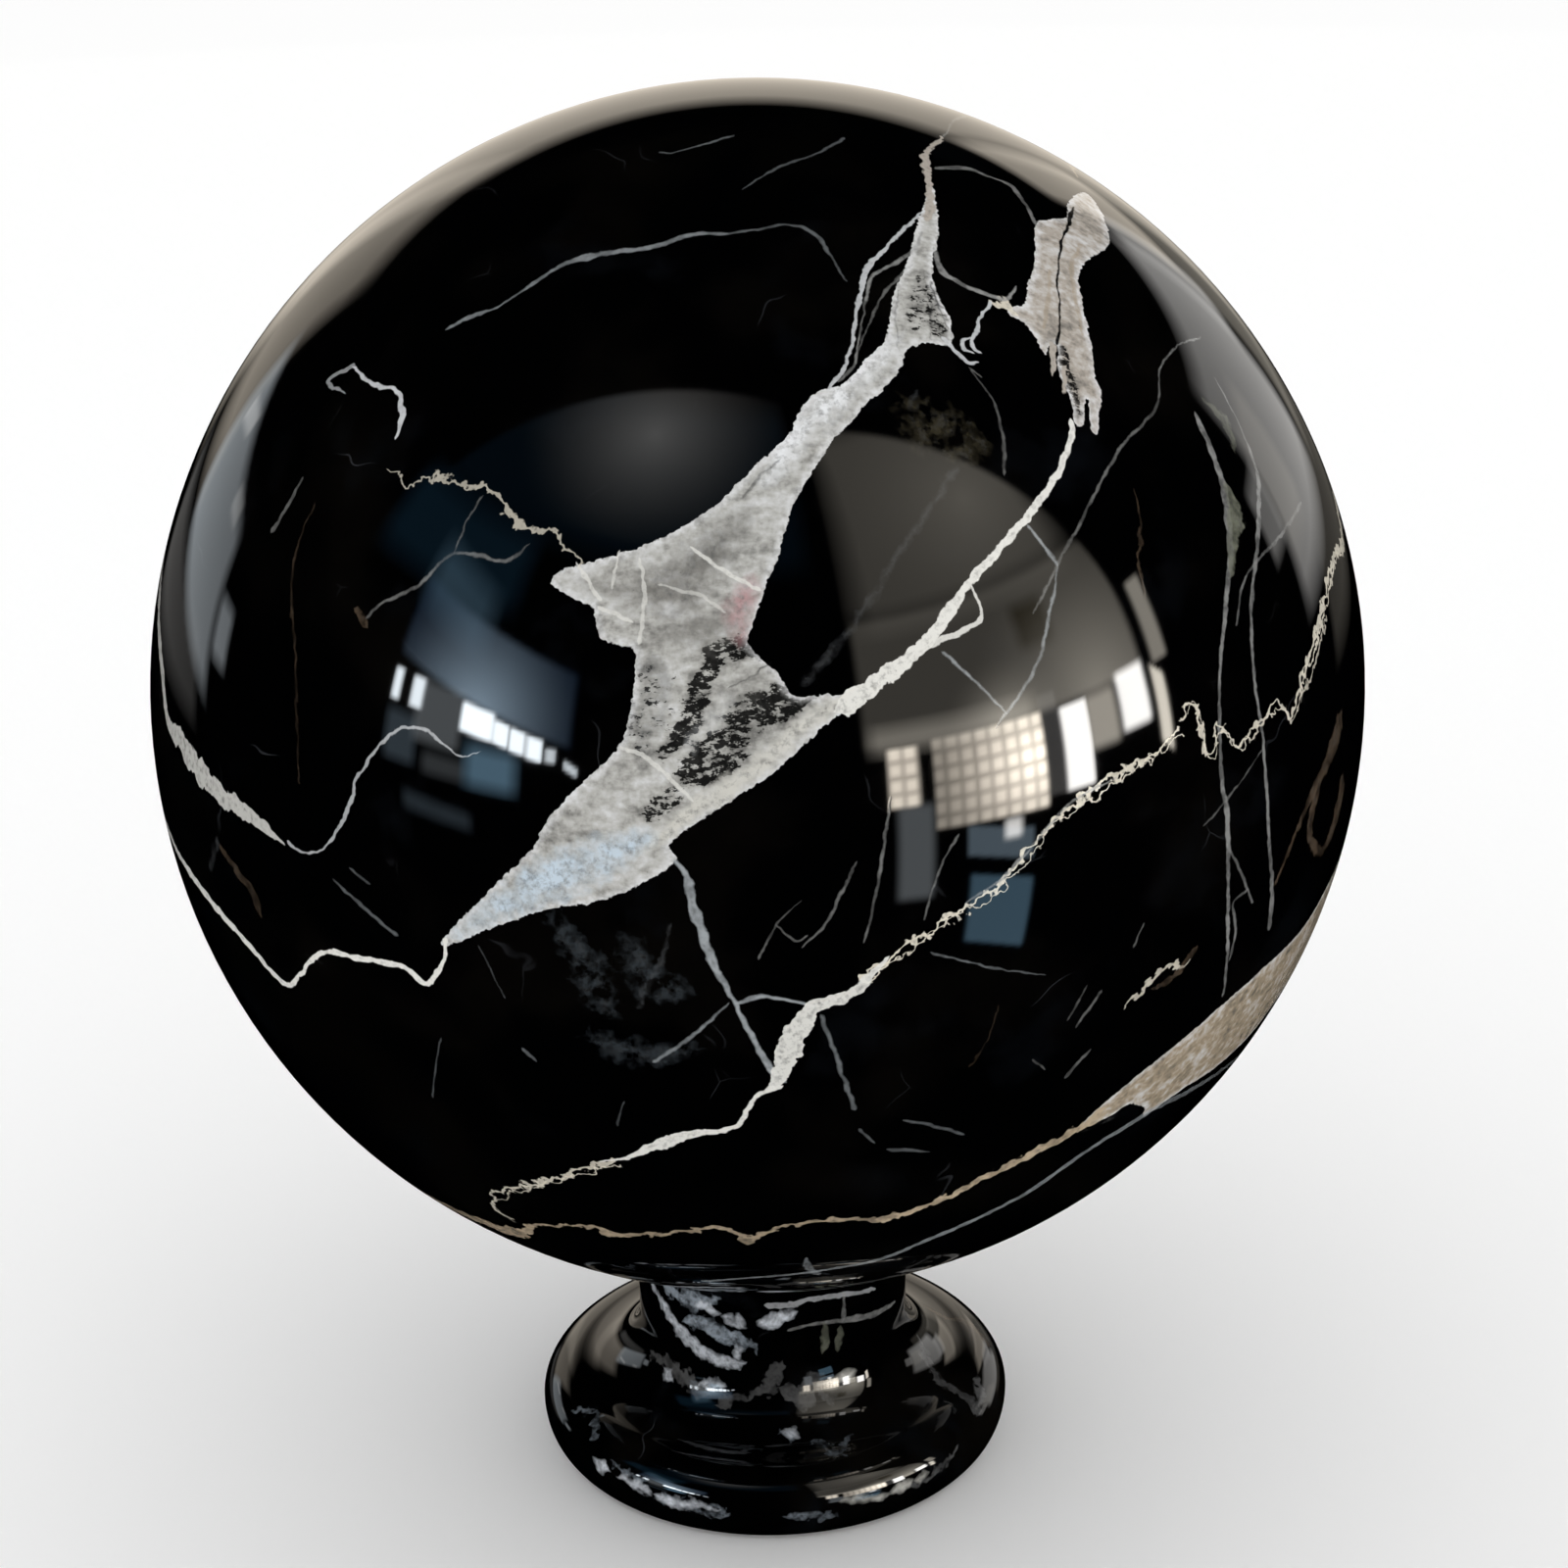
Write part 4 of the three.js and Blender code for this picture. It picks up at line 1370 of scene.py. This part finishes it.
# %% Veins of the neck
stand_vein("frost", 0.8, [
    (-66, 36, 0.7), (-56, 32.5, 1), (-47, 29.8, 1.4), (-38, 27.4, 1.6), (-28, 25.6, 1.5), (-19, 25, 1.4),
    (-14, 25.4, 1),
])
stand_vein("frost", 0.8, [(-15.5, 28, 1), (-15, 26.5, 0.9)])
stand_vein("cloud", 0.8, [(-52, 36, 1.4), (-42, 35.5, 1.8), (-32, 36, 1.8), (-24, 37, 1)])
stand_vein("frost", 0.8, [(-33, 35, 0.9), (-29, 35.2, 1.2), (-24, 34.6, 0.9)])
stand_vein("frost", 0.7, [(-20, 34, 1), (-16, 33.4, 1.6), (-13, 33, 1)])
stand_vein("cloud", 0.8, [(-40, 31, 1), (-32, 32, 1.6), (-22, 30.5, 1.8), (-14, 29.5, 1.6), (-8, 28.5, 1)])
stand_vein("frost", 0.95, [(-4, 33.4, 1.2), (-1, 33.8, 2), (3, 34.6, 1.5), (8, 35, 1)])
stand_vein("white", 0.5, [(-2, 37, 0.8), (6, 37, 0.8), (14, 37.4, 0.6), (28, 37, 0.5), (48, 35, 0.4)])
stand_vein("grey", 0.6, [(64, 29, 0.4), (48, 30, 0.7), (32, 31.5, 0.6), (18, 32.4, 0.4), (6, 32, 0.3)])
stand_vein("moss", 0.7, [(21, 32, 0.5), (22, 29, 0.9), (21, 26.5, 0.6)])
stand_vein("moss", 0.7, [(28.5, 30.5, 0.5), (28.5, 28, 0.9), (28, 26, 0.5)])
stand_vein("grey", 0.6, [(31, 37, 0.3), (31, 34, 0.6), (30, 31.5, 0.4)])
print(f"{len(stand_veins)} veins on the neck")

# %% Patches of the waist and foot, with painted reflections of the window lights
stand_vein("dove", 0.6, [(-62, 20, 0.8), (-50, 21, 1.5), (-38, 19.5, 1.5), (-28, 18.5, 1)])
stand_vein("dove", 0.5, [(-22, 18, 1.2), (-12, 19, 0.8), (-4, 20.6, 1.5), (2, 25, 1.2)])
stand_vein("dove", 0.6, [(4, 20, 1.4), (12, 18.5, 1.8), (16, 22, 1.2), (21, 17.5, 1)])
stand_vein("dove", 0.7, [(83, 17, 0.8), (76, 15.5, 1.4), (70, 14, 1.2), (65, 12.8, 1.2), (62, 11.3, 1.2)])
stand_vein("dove", 0.7, [(62, 11, 1), (68, 11.6, 1.2), (74, 12.6, 0.8)])
stand_vein("brown", 0.8, [(116, 13.8, 0.3), (106, 13, 0.8), (98, 12.3, 0.8), (92, 11.5, 0.4)])
stand_vein("cloud", 0.5, [(2, 14.6, 0.6), (5, 14.2, 0.9)])
stand_vein("cloud", 0.35, [(12, 13.6, 0.6), (18, 13, 0.9), (24, 13.6, 0.6)])
stand_vein("cloud", 0.5, [(-66, 12, 0.6), (-58, 12.8, 0.9), (-53, 11.4, 0.8)])
stand_vein("cloud", 0.4, [(-44, 9.8, 0.6), (-38, 9.2, 0.9), (-33, 9.4, 0.5)])
stand_vein("cloud", 0.55, [(-30, 7, 0.6), (-22, 6.6, 1), (-12, 6.4, 0.6)])
stand_vein("cloud", 0.5, [(2, 6.8, 0.6), (8, 5.6, 1), (14, 5, 0.6)])
stand_vein("dove", 0.7, [(24, 7.5, 0.5), (34, 7, 1), (42, 7.4, 0.9), (50, 9, 0.6)])
stand_vein("dove", 0.5, [(56, 12.4, 0.3), (60, 13, 0.5)])
# Painted reflections of the left window lights: bluish-white spots in a row round the waist, then another
# along the foot's rolled edge.
stand_vein("frost", 0.9, [(-51, 19.4, 0.5), (-48.5, 19, 1.2), (-46, 18.7, 0.7)])
stand_vein("frost", 0.8, [(-32, 19.7, 0.5), (-27.5, 20.2, 1.5), (-22, 20.3, 0.9)])
stand_vein("frost", 0.9, [(-50, 8.4, 0.6), (-47.5, 8.3, 1.5), (-45, 8.2, 0.9)])
stand_vein("frost", 0.7, [(-41, 8.3, 0.6), (-36, 8, 1.1), (-32, 7.4, 0.7)])
stand_vein("frost", 0.9, [
    (-29.5, 7.2, 0.9), (-27, 7, 1.4), (-22.5, 7.1, 1), (-18, 7.3, 0.9), (-14, 7.3, 0.4),
])
# Painted reflections of the right window lights: cream spots along the foot's rolled edge, then a row round
# the waist.
stand_vein("pale", 0.75, [(15, 7.8, 0.4), (18, 7.7, 0.9), (22, 7.2, 0.7), (26, 6.9, 1.1)])
stand_vein("pale", 0.9, [(28.5, 7.3, 0.8), (30.5, 7.5, 1.3), (33, 7.7, 0.9)])
stand_vein("pale", 0.8, [(35.5, 7.8, 1), (38, 8.1, 0.7)])
stand_vein("pale", 0.8, [(18, 20.4, 0.5), (24, 20.6, 0.8), (31, 20.8, 1.2), (34, 20.9, 0.9)])
stand_vein("frost", 0.6, [(2.5, 14.7, 0.5), (4.8, 14.5, 1.1), (7, 14.2, 0.6)])
print(f"{len(stand_veins)} veins and patches so far")

# %% Veins on the stand's far side
stand_vein("white", 0.7, [
    (-100, 26, 0.4), (-118, 30, 1), (-136, 31, 1.2), (-152, 36, 0.8), (-162, 40, 0.4),
])
stand_vein("cloud", 0.7, [(-170, 20, 1), (-182, 22, 1.6), (-196, 21, 1.2)])
stand_vein("grey", 0.6, [(120, 36, 0.3), (134, 33, 0.6), (150, 32, 0.5), (168, 27, 0.4), (178, 20, 0.3)])
stand_vein("dove", 0.6, [(-120, 10, 0.8), (-132, 12, 1.4), (-144, 10, 1)])
stand_vein("dove", 0.6, [(140, 8, 0.8), (152, 9.5, 1.4), (164, 8, 0.8)])
stand_layers = in_layers(stand_veins)
print(f"{len(stand_veins)} veins in layers of {[len(layer) for layer in stand_layers]}")

# %% Stand in its stone
STAND_MISTINESS = 1.4
stand_layer_names = [f"veins_{number}" for number in range(len(stand_layers))]
stand_marble = marble("stand marble", stand_layer_names, None, [], STAND_MISTINESS)
stand = keep(stand_shape, "turned_stand", stand_marble)
for layer_name, layer in zip(stand_layer_names, stand_layers):
    store_layer(stand.data, layer_name, layer)
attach(stand, "root")
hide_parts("stand")
print(f"stand: {len(stand.data.polygons)} faces, {len(stand_layers)} layers of veins")
